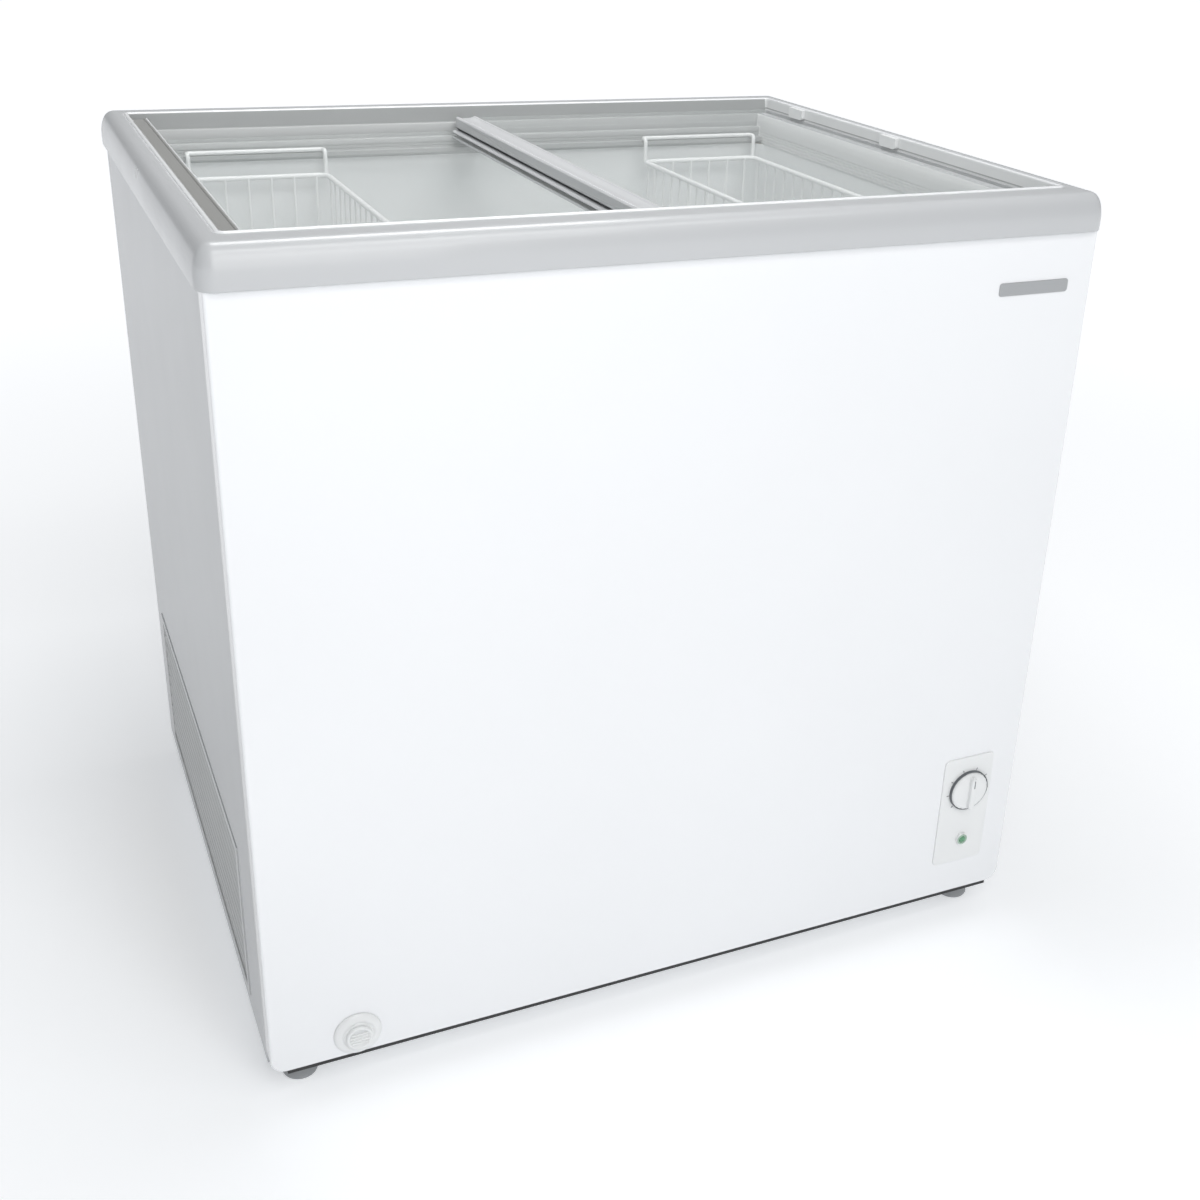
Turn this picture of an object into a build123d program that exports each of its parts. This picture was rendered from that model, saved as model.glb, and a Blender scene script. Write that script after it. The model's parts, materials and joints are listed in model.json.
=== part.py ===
from build123d import *
import os

os.makedirs("parts", exist_ok=True)

# Chest freezer with two flat sliding glass lids and two hanging wire baskets.
# Millimetres. +Z is up, the front faces -Y, and +X is the right-hand side as seen from the front.
# The origin is on the floor, under the middle of the cabinet.

# ---------------------------------------------------------------- driving dimensions
BODY_W = 860.0            # cabinet without the top frame
BODY_D = 690.0
BODY_H = 780.0
FOOT_H = 35.0             # floor to the underside of the cabinet
FRAME_H = 38.0            # visible height of the plastic top frame
FRAME_OVERHANG = 5.0
FRAME_CORNER_R = 16.5     # small enough to cover the panels' corners
BULLNOSE_R = 15.0
SHEET = 1.2               # painted steel panels
FOLD = 20.0               # panel edges folded inwards
PLINTH_H = 200.0          # machine compartment under the tub
FLOOR_FOAM = 60.0
LIP_SIDE = 28.0           # outer edge of the frame to its inner lip
LIP_FRONT = 45.0
LIP_BACK = 38.0
TRACK = 7.0               # width of each lid track
END_LEDGE = 16.0          # ledge under each lid's outer end
UPPER_GLASS_DROP = 15.0   # frame top to the top of the upper glass
LEVEL_STEP = 15.0         # upper glass to lower glass
GLASS_T = 4.0
GLIDE_GAP = 0.5           # glass to track
COLLAR_H = 15.0
LINER_T = 1.0
COIL_GAP = 8.0            # space for the cooling tube behind the liner
PROTRUSION = 14.0         # knob in front, wall spacers behind
DIVIDER_X = (-29.5, -3.5)         # strip on the inner end of the upper lid
EDGE_STRIP_X = (-34.0, -6.0)      # strip on the inner end of the lower lid
SEAL_X = (-27.0, -24.5)           # brush between the two lids
STRIP_GRIP = 14.0         # how far a strip reaches over its pane
END_STRIP_W = 19.0        # raised strip on the outer end of the lower lid
END_STRIP_DROP = 5.0      # frame top to the top of that strip
END_GAP = 0.8             # lid end to the frame's lip
KEEPER_Y = (5.0, 225.0)
BASKET_W = 164.0
BASKET_DROP = 69.0        # frame top to the top of the basket rim
BASKET_H = 184.0
BASKET_LEFT_X = -354.0    # left side of the left basket
BASKET_RIGHT_X = 214.0    # left side of the right basket
BASKET_GAP = 14.0         # opening's front and back walls to the basket rim
KNOB_X, KNOB_Z = 367.0, 177.0
KNOB_SHAFT_R = 3.0
LAMP_Z = 110.0
LAMP_R = 5.2              # lamp body
LENS_R = 4.2
PLATE_T = 1.6             # control plate
DRAIN_X, DRAIN_Z = -344.0, 61.0
DRAIN_Y = -250.0          # tub drain, behind the front outlet
DRAIN_HOLE_R = 10.2
OUTLET_R = 12.0           # neck of the front outlet
FOOT_X, FOOT_Y = 396.0, 306.0
BADGE_X, BADGE_Z = 359.5, 763.0
SPACER_X, SPACER_Z = 300.0, 690.0
GLAND_X, GLAND_Z, GLAND_R = 390.0, 65.0, 8.0
FAN_Y, FAN_Z = 30.0, 130.0
COMP_X, COMP_Y = 255.0, 170.0
COMP_RX, COMP_RY = 82.0, 66.0
COMP_H = 140.0
COND_X0, COND_X1 = -210.0, -150.0
COND_Y0, COND_Y1 = -95.0, 155.0
COND_ROWS = (80.0, 110.0, 140.0, 170.0)

# ---------------------------------------------------------------- derived places
LEFT, RIGHT = -BODY_W / 2, BODY_W / 2
FRONT, BACK = -BODY_D / 2, BODY_D / 2
BASE = FOOT_H
WALL_TOP = BASE + BODY_H
FRAME_TOP = WALL_TOP + FRAME_H
PANEL_TOP = WALL_TOP + 10.0
FRAME_UNDER = WALL_TOP - 3.0
PAN_Z = BASE + 1.5
PAN_T = 1.5
PLINTH_TOP = BASE + PLINTH_H
TUB_FLOOR = PLINTH_TOP + FLOOR_FOAM

LIP_L, LIP_R = LEFT - FRAME_OVERHANG + LIP_SIDE, RIGHT + FRAME_OVERHANG - LIP_SIDE
LIP_F = FRONT - FRAME_OVERHANG + LIP_FRONT
LIP_B = BACK + FRAME_OVERHANG - LIP_BACK
OPEN_L, OPEN_R = LIP_L + END_LEDGE, LIP_R - END_LEDGE
OPEN_F, OPEN_B = LIP_F + 2 * TRACK, LIP_B - 2 * TRACK

UPPER_GLASS = FRAME_TOP - UPPER_GLASS_DROP - GLASS_T
LOWER_GLASS = UPPER_GLASS - LEVEL_STEP
UPPER_LEDGE = UPPER_GLASS - GLIDE_GAP
LOWER_LEDGE = LOWER_GLASS - GLIDE_GAP
COLLAR_BOTTOM = FRAME_UNDER - COLLAR_H
BASKET_TOP = FRAME_TOP - BASKET_DROP
GRILLE_F, GRILLE_B = FRONT + 0.15 * BODY_D, BACK - 0.07 * BODY_D
GRILLE_Z0, GRILLE_Z1 = BASE + 17.0, PLINTH_TOP
LEFT_GLASS_X = (LIP_L + 2.0, EDGE_STRIP_X[0] + 26.0)
RIGHT_GLASS_X = (DIVIDER_X[0] + STRIP_GRIP, LIP_R - 2.0)
PAN_FLOOR = PAN_Z + PAN_T
COMP_PLATE = PAN_FLOOR + 14.0
COMP_TOP = COMP_PLATE + 3.0 + COMP_H


def block(low, high, mode=Mode.ADD):
    """A box between two opposite corners, added to the part being built."""
    size = [b - a for a, b in zip(low, high)]
    middle = tuple((a + b) / 2 for a, b in zip(low, high))
    with Locations(middle):
        return Box(*size, mode=mode)


def rod(start, direction, radius, length, mode=Mode.ADD):
    """A round bar from a start point along a direction."""
    with BuildSketch(Plane(origin=start, z_dir=direction)) as section:
        Circle(radius)
    return extrude(section.sketch, amount=length, mode=mode)


def bent_tube(points, radius, bends, bore=0.0):
    """A tube along straight runs joined by arcs; bends is one radius or one per corner."""
    with BuildLine() as path:
        FilletPolyline(*points, radius=bends)
    start = path.line @ 0
    heading = path.line % 0
    with BuildSketch(Plane(origin=start, z_dir=heading)) as section:
        Circle(radius)
        if bore:
            Circle(bore, mode=Mode.SUBTRACT)
    return sweep(section.sketch, path=path.line)


def save(piece, name):
    """Label one finished sub-part and write its STEP file."""
    piece.part.label = name
    export_step(piece.part, f"parts/{name}.step")


# ---------------------------------------------------------------- outer panels
def make_front_panel():
    """Painted steel pan with rounded lower corners and folded side and bottom returns."""
    corner_r = 16.0
    edge_r = 2.5
    shaft_hole_r = 4.0
    with BuildPart() as panel:
        block((LEFT, FRONT, BASE), (RIGHT, FRONT + FOLD, PANEL_TOP))
        lower = panel.edges().filter_by(Axis.Y).group_by(Axis.Z)[0]
        fillet(lower, corner_r)
        face_edges = panel.faces().sort_by(Axis.Y)[0].edges().sort_by(Axis.Z)[:-1]
        fillet(face_edges, edge_r)
        open_faces = [panel.faces().sort_by(Axis.Y)[-1], panel.faces().sort_by(Axis.Z)[-1]]
        offset(amount=-SHEET, openings=open_faces)
        rod((KNOB_X, FRONT - 1, KNOB_Z), (0, 1, 0), shaft_hole_r, 4.0, Mode.SUBTRACT)
        rod((KNOB_X, FRONT - 1, LAMP_Z), (0, 1, 0), LAMP_R, 4.0, Mode.SUBTRACT)
        rod((DRAIN_X, FRONT - 1, DRAIN_Z), (0, 1, 0), OUTLET_R, 4.0, Mode.SUBTRACT)
    save(panel, "front_panel")


def make_side_panel(side, name):
    """Painted side sheet with a folded foot and a window for the louvre grille."""
    outer = side * BODY_W / 2
    inner = outer - side * SHEET
    fold = outer - side * FOLD
    front = FRONT + FOLD
    with BuildPart() as panel:
        block((min(outer, inner), front, BASE), (max(outer, inner), BACK, PANEL_TOP))
        block((min(outer, fold), front, BASE), (max(outer, fold), BACK, BASE + SHEET))
        through = (min(outer, inner) - 5, max(outer, inner) + 5)
        block((through[0], GRILLE_F, GRILLE_Z0), (through[1], GRILLE_B, GRILLE_Z1), Mode.SUBTRACT)
    save(panel, name)


def make_louvre_grille(side, name):
    """Moulded grille with long slanted slats that fills the side panel's window."""
    border = 9.0
    depth = 4.0
    pitch = 14.5
    slot = 6.5
    slope = 5.0
    proud = 1.0
    outer = side * (BODY_W / 2 + proud)
    inner = outer - side * depth
    count = int((GRILLE_Z1 - GRILLE_Z0 - 2 * border) // pitch)
    first = (GRILLE_Z0 + GRILLE_Z1) / 2 - (count - 1) * pitch / 2
    with BuildPart() as grille:
        x_low, x_high = sorted((outer, inner))
        block((x_low, GRILLE_F, GRILLE_Z0), (x_high, GRILLE_B, GRILLE_Z1))
        for number in range(count):
            mid = first + number * pitch
            corners = [
                (outer + side, mid - slot / 2 - slope / 2),
                (outer + side, mid + slot / 2 - slope / 2),
                (inner - side, mid + slot / 2 + slope / 2),
                (inner - side, mid - slot / 2 + slope / 2),
            ]
            plane = Plane(origin=(0, GRILLE_F + border, 0), x_dir=(1, 0, 0), z_dir=(0, -1, 0))
            with BuildSketch(plane):
                Polygon(*corners, align=None)
            extrude(amount=-(GRILLE_B - GRILLE_F - 2 * border), mode=Mode.SUBTRACT)
    save(grille, name)


def make_back_panel():
    """Upper rear sheet, down to the machine compartment."""
    side = BODY_W / 2 - SHEET
    with BuildPart() as panel:
        block((-side, BACK - SHEET, PLINTH_TOP), (side, BACK, PANEL_TOP))
    save(panel, "back_panel")


def make_rear_cover():
    """Removable sheet over the machine compartment, with two fields of vent slots."""
    side = BODY_W / 2 - SHEET
    slot_l, slot_h = 60.0, 5.0
    pitch_x, pitch_z = 82.0, 14.0
    field_x = 205.0
    middle = (BASE + PLINTH_TOP) / 2 + 8.0
    with BuildPart() as cover:
        block((-side, BACK - SHEET, BASE + 3.0), (side, BACK, PLINTH_TOP - 0.5))
        with BuildSketch(Plane(origin=(0, BACK + 1, middle), x_dir=(1, 0, 0), z_dir=(0, -1, 0))):
            with Locations((-field_x, 0), (field_x, 0)):
                with GridLocations(pitch_x, pitch_z, 4, 9):
                    SlotOverall(slot_l, slot_h)
        extrude(amount=4.0, mode=Mode.SUBTRACT)
        rod((GLAND_X, BACK - 5, GLAND_Z), (0, 1, 0), GLAND_R, 10.0, Mode.SUBTRACT)
    save(cover, "rear_cover")


def make_cover_screws():
    """Pan-head screws round the rear cover."""
    head_r, head_h = 4.2, 2.4
    slot_floor = BACK + 1.4
    spots = [(x, z) for x in (-418, -140, 140, 418) for z in (BASE + 14, PLINTH_TOP - 10)]
    with BuildPart() as screws:
        for x, z in spots:
            rod((x, BACK, z), (0, 1, 0), head_r, head_h)
        tops = screws.faces().filter_by(Axis.Y).group_by(Axis.Y)[-1]
        fillet(tops.edges(), 1.2)
        for x, z in spots:
            block((x - 2.6, slot_floor, z - 0.5), (x + 2.6, BACK + 3, z + 0.5), Mode.SUBTRACT)
            block((x - 0.5, slot_floor, z - 2.6), (x + 0.5, BACK + 3, z + 2.6), Mode.SUBTRACT)
    save(screws, "cover_screws")


def make_base_pan():
    """Galvanised tray that carries the compressor, the fan and the feet."""
    play = 0.3
    side = BODY_W / 2 - SHEET - play
    front, back = FRONT + FOLD + 1.0, BACK - SHEET - play
    lip = 14.0
    with BuildPart() as pan:
        block((-side, front, PAN_Z), (side, back, PAN_Z + lip))
        block((-side + PAN_T, front + PAN_T, PAN_FLOOR), (side - PAN_T, back - PAN_T, PAN_Z + lip + 1),
              Mode.SUBTRACT)
        with BuildSketch(Plane.XY.offset(PAN_Z - 1)):
            with Locations((-60, -180)):
                with GridLocations(70.0, 22.0, 5, 5):
                    SlotOverall(52.0, 8.0)
        extrude(amount=PAN_T + 2, mode=Mode.SUBTRACT)
    save(pan, "base_pan")


def make_feet():
    """Four moulded feet with a flared sole."""
    profile = [(0, 0), (17, 0), (18, 2), (16.5, 9), (11, 20), (10, PAN_Z), (0, PAN_Z)]
    with BuildPart() as feet:
        for x in (-FOOT_X, FOOT_X):
            for y in (-FOOT_Y, FOOT_Y):
                with BuildSketch(Plane(origin=(x, y, 0), x_dir=(1, 0, 0), z_dir=(0, -1, 0))):
                    Polygon(*profile, align=None)
                revolve(axis=Axis((x, y, 0), (0, 0, 1)))
    save(feet, "feet")


def make_rear_spacers():
    """Rubber buffers that keep the back off the wall."""
    with BuildPart() as spacers:
        for x in (-SPACER_X, SPACER_X):
            rod((x, BACK, SPACER_Z), (0, 1, 0), 14.0, PROTRUSION)
        ends = spacers.faces().filter_by(Axis.Y).group_by(Axis.Y)[-1]
        fillet(ends.edges(), 4.0)
    save(spacers, "rear_spacers")


def make_badge_plate():
    """Blank trim plate on the front."""
    with BuildPart() as badge:
        with BuildSketch(Plane(origin=(BADGE_X, FRONT, BADGE_Z), x_dir=(1, 0, 0), z_dir=(0, -1, 0))):
            RectangleRounded(82.0, 13.0, 3.0)
        extrude(amount=1.2)
        fillet(badge.faces().sort_by(Axis.Y)[0].edges(), 0.5)
    save(badge, "badge_plate")


# ---------------------------------------------------------------- tub
def make_foam():
    """Insulation between the panels and the liner: four walls and a floor."""
    side = BODY_W / 2 - SHEET
    front, back = FRONT + SHEET, BACK - SHEET
    gap = 2.0 + COIL_GAP
    with BuildPart() as foam:
        block((-side, front, PLINTH_TOP), (side, back, FRAME_UNDER))
        fillet(foam.edges().filter_by(Axis.Z), 3.0)
        block((OPEN_L - gap, OPEN_F - gap, TUB_FLOOR), (OPEN_R + gap, OPEN_B + gap, FRAME_UNDER + 1),
              Mode.SUBTRACT)
        rod((DRAIN_X, DRAIN_Y, PLINTH_TOP - 1), (0, 0, 1), DRAIN_HOLE_R, FLOOR_FOAM + 2, Mode.SUBTRACT)
    save(foam, "foam_insulation")


def make_liner():
    """Thin painted tub with rounded corners and a drain hole."""
    wall_r = 24.0
    with BuildPart() as liner:
        block((OPEN_L - 2, OPEN_F - 2, TUB_FLOOR), (OPEN_R + 2, OPEN_B + 2, COLLAR_BOTTOM))
        fillet(liner.edges().filter_by(Axis.Z), wall_r)
        fillet(liner.faces().sort_by(Axis.Z)[0].edges(), 14.0)
        offset(amount=-LINER_T, openings=liner.faces().sort_by(Axis.Z)[-1])
        rod((DRAIN_X, DRAIN_Y, TUB_FLOOR - 1), (0, 0, 1), DRAIN_HOLE_R, 4.0, Mode.SUBTRACT)
    save(liner, "inner_liner")


def make_collar():
    """Grey breaker strip between the liner's top edge and the frame."""
    wall = 3.0
    with BuildPart() as collar:
        block((OPEN_L - wall, OPEN_F - wall, COLLAR_BOTTOM), (OPEN_R + wall, OPEN_B + wall, FRAME_UNDER))
        block((OPEN_L, OPEN_F, COLLAR_BOTTOM - 1), (OPEN_R, OPEN_B, FRAME_UNDER + 1), Mode.SUBTRACT)
    save(collar, "liner_collar")


def make_basket_rails():
    """Two strips on the collar that the basket hangers rest on."""
    depth = 8.0
    low, high = COLLAR_BOTTOM + 3.0, COLLAR_BOTTOM + 9.0
    with BuildPart() as rails:
        block((OPEN_L, OPEN_F, low), (OPEN_R, OPEN_F + depth, high))
        block((OPEN_L, OPEN_B - depth, low), (OPEN_R, OPEN_B, high))
        fillet(rails.edges().filter_by(Axis.X).group_by(Axis.Z)[0], 2.0)
    save(rails, "basket_rails")


def make_drain_fitting():
    """Collar round the drain hole in the tub floor."""
    with BuildPart() as fitting:
        rod((DRAIN_X, DRAIN_Y, TUB_FLOOR + LINER_T), (0, 0, 1), 21.0, 1.6)
        rod((DRAIN_X, DRAIN_Y, TUB_FLOOR), (0, 0, 1), 10.4, 4.0, Mode.SUBTRACT)
    save(fitting, "tub_drain_fitting")


def make_drain_stopper():
    """Push-in plug that closes the tub drain from inside."""
    seat = TUB_FLOOR + LINER_T + 1.9
    with BuildPart() as stopper:
        rod((DRAIN_X, DRAIN_Y, seat - 20), (0, 0, 1), 7.6, 20.0)
        rod((DRAIN_X, DRAIN_Y, seat), (0, 0, 1), 17.0, 4.0)
        fillet(stopper.faces().sort_by(Axis.Z)[-1].edges(), 2.0)
        block((DRAIN_X - 10, DRAIN_Y - 1.5, seat + 3.5), (DRAIN_X + 10, DRAIN_Y + 1.5, seat + 11))
    save(stopper, "drain_stopper")


def make_drain_tube():
    """Hose from the tub floor to the outlet in the front panel."""
    top = TUB_FLOOR
    outlet = FRONT + 15.0
    with BuildPart() as tube:
        points = [(DRAIN_X, DRAIN_Y, top), (DRAIN_X, DRAIN_Y, DRAIN_Z), (DRAIN_X, outlet, DRAIN_Z)]
        bent_tube(points, 10.0, 40.0, bore=8.0)
    save(tube, "drain_tube")


def make_drain_flange():
    """Round domed outlet flange with a neck through the front panel."""
    with BuildPart() as flange:
        rod((DRAIN_X, FRONT - 6, DRAIN_Z), (0, 1, 0), 24.0, 6.0)
        fillet(flange.edges().group_by(Axis.Y)[0], 4.0)
        rod((DRAIN_X, FRONT - 1, DRAIN_Z), (0, 1, 0), OUTLET_R, 18.0)
        rod((DRAIN_X, FRONT - 7, DRAIN_Z), (0, 1, 0), 10.0, 30.0, Mode.SUBTRACT)
    save(flange, "drain_flange")


def make_drain_cap():
    """Pull-out cap with three grip slots."""
    face = FRONT - 10.5
    with BuildPart() as cap:
        rod((DRAIN_X, face, DRAIN_Z), (0, 1, 0), 13.5, 4.2)
        fillet(cap.edges().group_by(Axis.Y)[0], 2.0)
        rod((DRAIN_X, face + 4.0, DRAIN_Z), (0, 1, 0), 9.6, 18.0)
        for step in (-6.0, 0.0, 6.0):
            block((DRAIN_X - 8, face - 1, DRAIN_Z + step - 1), (DRAIN_X + 8, face + 1.5, DRAIN_Z + step + 1),
                  Mode.SUBTRACT)
    save(cap, "drain_cap")


# ---------------------------------------------------------------- top frame and lids
def make_top_frame():
    """Moulded ring with a rounded outer edge, an inner lip and two lid tracks."""
    width = BODY_W + 2 * FRAME_OVERHANG
    depth = BODY_D + 2 * FRAME_OVERHANG
    above = FRAME_TOP + 1.0
    with BuildPart() as ring:
        with BuildSketch(Plane.XY.offset(WALL_TOP)):
            RectangleRounded(width, depth, FRAME_CORNER_R)
        extrude(amount=FRAME_H)
        fillet(ring.faces().sort_by(Axis.Z)[-1].edges(), BULLNOSE_R)
        block((LEFT + 4, FRONT + 4, FRAME_UNDER), (RIGHT - 4, BACK - 4, WALL_TOP + 1))
        with BuildSketch(Plane.XY.offset(WALL_TOP)):
            Rectangle(BODY_W, BODY_D)
            Rectangle(BODY_W - 4 * SHEET, BODY_D - 4 * SHEET, mode=Mode.SUBTRACT)
        extrude(amount=PANEL_TOP - WALL_TOP, mode=Mode.SUBTRACT)
        block((LIP_L, LIP_F, UPPER_LEDGE), (LIP_R, LIP_B, above), Mode.SUBTRACT)
        block((LIP_L, LIP_F + TRACK, LOWER_LEDGE), (OPEN_R, LIP_B - TRACK, above), Mode.SUBTRACT)
        block((OPEN_L, OPEN_F, FRAME_UNDER - 1), (OPEN_R, OPEN_B, above), Mode.SUBTRACT)
        fillet(ring.edges().filter_by(Axis.Z).filter_by_position(Axis.Y, LIP_F - 1, LIP_B + 1)
               .filter_by_position(Axis.X, LIP_L - 1, LIP_R + 1)
               .filter_by_position(Axis.Z, UPPER_LEDGE, FRAME_TOP)
               .group_by(Axis.Z)[-1], 3.0)
    save(ring, "top_frame")


def make_lid_keepers():
    """Clips on the right-hand end wall that hold the upper pane down on its tracks."""
    thick = 5.0
    length = 34.0
    low, high = UPPER_GLASS + GLASS_T + 0.8, FRAME_TOP - 2.0
    with BuildPart() as keepers:
        for y in KEEPER_Y:
            block((LIP_R - thick, y - length / 2, low), (LIP_R, y + length / 2, high))
        lower = keepers.edges().filter_by(Axis.X).group_by(Axis.Z)[0]
        fillet(lower, 4.0)
    save(keepers, "lid_keepers")


def make_glass(x_range, z, shrink, name):
    """One flat toughened pane with eased edges."""
    y_low, y_high = LIP_F + shrink, LIP_B - shrink
    with BuildPart() as pane:
        block((x_range[0], y_low, z), (x_range[1], y_high, z + GLASS_T))
        fillet(pane.edges().filter_by(Axis.Z), 3.0)
        chamfer(pane.faces().sort_by(Axis.Z)[-1].edges(), 0.6)
    save(pane, name)


def make_edge_profile(x_range, z_range, glass_z, glass_x, shrink, name):
    """Extruded edge strip that grips the end of a pane in a slot."""
    y_low, y_high = LIP_F + shrink, LIP_B - shrink
    with BuildPart() as strip:
        block((x_range[0], y_low, z_range[0]), (x_range[1], y_high, z_range[1]))
        fillet(strip.edges().filter_by(Axis.Y).group_by(Axis.Z)[-1], 2.0)
        block((glass_x[0], y_low - 1, glass_z), (glass_x[1], y_high + 1, glass_z + GLASS_T), Mode.SUBTRACT)
    save(strip, name)


def make_lids():
    """Left lid on the lower track, right lid on the upper track, with their edge strips."""
    inside = 2 * TRACK + 0.8
    end_side = TRACK + 1.0
    rest = 0.3
    make_glass(LEFT_GLASS_X, LOWER_GLASS, TRACK + 0.5, "left_lid_glass")
    make_glass(RIGHT_GLASS_X, UPPER_GLASS, 0.5, "right_lid_glass")

    divider_z = (UPPER_GLASS - 5.5, UPPER_GLASS + GLASS_T + 3.5)
    grip = (RIGHT_GLASS_X[0], RIGHT_GLASS_X[0] + 2 * STRIP_GRIP)
    make_edge_profile(DIVIDER_X, divider_z, UPPER_GLASS, grip, inside, "right_lid_divider")

    strip_z = (LOWER_GLASS - 3.0, LOWER_GLASS + GLASS_T + 3.0)
    grip = (LEFT_GLASS_X[1] - 3 * STRIP_GRIP, LEFT_GLASS_X[1])
    make_edge_profile(EDGE_STRIP_X, strip_z, LOWER_GLASS, grip, inside, "left_lid_edge_strip")

    strip_x = (LIP_L + END_GAP, LIP_L + END_GAP + END_STRIP_W)
    strip_z = (LOWER_GLASS - rest, FRAME_TOP - END_STRIP_DROP)
    grip = (LEFT_GLASS_X[0], LEFT_GLASS_X[0] + 2 * END_STRIP_W)
    make_edge_profile(strip_x, strip_z, LOWER_GLASS, grip, end_side, "left_lid_end_strip")

    strip_x = (LIP_R - STRIP_GRIP - END_GAP, LIP_R - END_GAP)
    strip_z = (UPPER_GLASS - rest, UPPER_GLASS + GLASS_T)
    grip = (RIGHT_GLASS_X[1] - 2 * STRIP_GRIP, RIGHT_GLASS_X[1])
    make_edge_profile(strip_x, strip_z, UPPER_GLASS, grip, 1.0, "right_lid_end_strip")

    pile_tip = LOWER_GLASS + GLASS_T + 3.4
    with BuildPart() as seal:
        block((SEAL_X[0], LIP_F + inside, pile_tip), (SEAL_X[1], LIP_B - inside, divider_z[0]))
    save(seal, "right_lid_brush_seal")


# ---------------------------------------------------------------- baskets
def make_basket(x_left, prefix):
    """Rim, five flat wire grids and two hangers of one basket."""
    rim_w, rim_h = 5.0, 8.0
    wire = 3.0
    corner = 12.0
    y_front, y_back = OPEN_F + BASKET_GAP, OPEN_B - BASKET_GAP
    length = y_back - y_front
    centre = (x_left + BASKET_W / 2, (y_front + y_back) / 2)
    grid_top = BASKET_TOP - rim_h
    grid_bottom = BASKET_TOP - BASKET_H
    inset = 1.0

    with BuildPart() as rim:
        with BuildSketch(Plane.XY.offset(BASKET_TOP - rim_h)):
            with Locations(centre):
                RectangleRounded(BASKET_W, length, corner)
                RectangleRounded(BASKET_W - 2 * rim_w, length - 2 * rim_w, corner - rim_w,
                                 mode=Mode.SUBTRACT)
        extrude(amount=rim_h)
        fillet(rim.faces().sort_by(Axis.Z)[-1].edges(), 2.0)
    save(rim, f"{prefix}_rim")

    def grid(plane, across, down, columns, rows):
        """One flat grid of wires in the given plane, centred on its origin."""
        cell_w = (across - wire) / columns
        cell_h = (down - wire) / rows
        with BuildSketch(plane) as wires:
            Rectangle(across, down)
            with GridLocations(cell_w, cell_h, columns, rows):
                Rectangle(cell_w - wire, cell_h - wire, mode=Mode.SUBTRACT)
        extrude(wires.sketch, amount=wire)

    mid_z = (grid_top + grid_bottom) / 2
    tall = grid_top - grid_bottom
    long_span = length - 2 * corner
    short_span = BASKET_W - 2 * corner
    with BuildPart() as mesh:
        for x in (x_left + inset, x_left + BASKET_W - inset - wire):
            grid(Plane(origin=(x, centre[1], mid_z), x_dir=(0, 1, 0), z_dir=(1, 0, 0)),
                 long_span, tall, 22, 3)
        for y in (y_front + inset, y_back - inset - wire):
            grid(Plane(origin=(centre[0], y, mid_z), x_dir=(-1, 0, 0), z_dir=(0, 1, 0)),
                 short_span, tall, 6, 3)
        floor_z = grid_bottom - wire - 0.3
        grid(Plane(origin=(centre[0], centre[1], floor_z), x_dir=(1, 0, 0), z_dir=(0, 0, 1)),
             BASKET_W - 2 * inset, length - 2 * inset, 6, 23)
    save(mesh, f"{prefix}_mesh")

    bar_r = 2.5
    bar_z = COLLAR_BOTTOM + 12.0
    reach = 10.5
    x1, x2 = x_left + 4.0, x_left + BASKET_W - 4.0
    with BuildPart() as hangers:
        for leg, out in ((y_front + bar_r, -1), (y_back - bar_r, 1)):
            bar = leg + out * reach
            points = [(x1, leg, BASKET_TOP), (x1, leg, bar_z), (x1, bar, bar_z),
                      (x2, bar, bar_z), (x2, leg, bar_z), (x2, leg, BASKET_TOP)]
            bent_tube(points, bar_r, 3.6)
    save(hangers, f"{prefix}_hangers")


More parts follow.
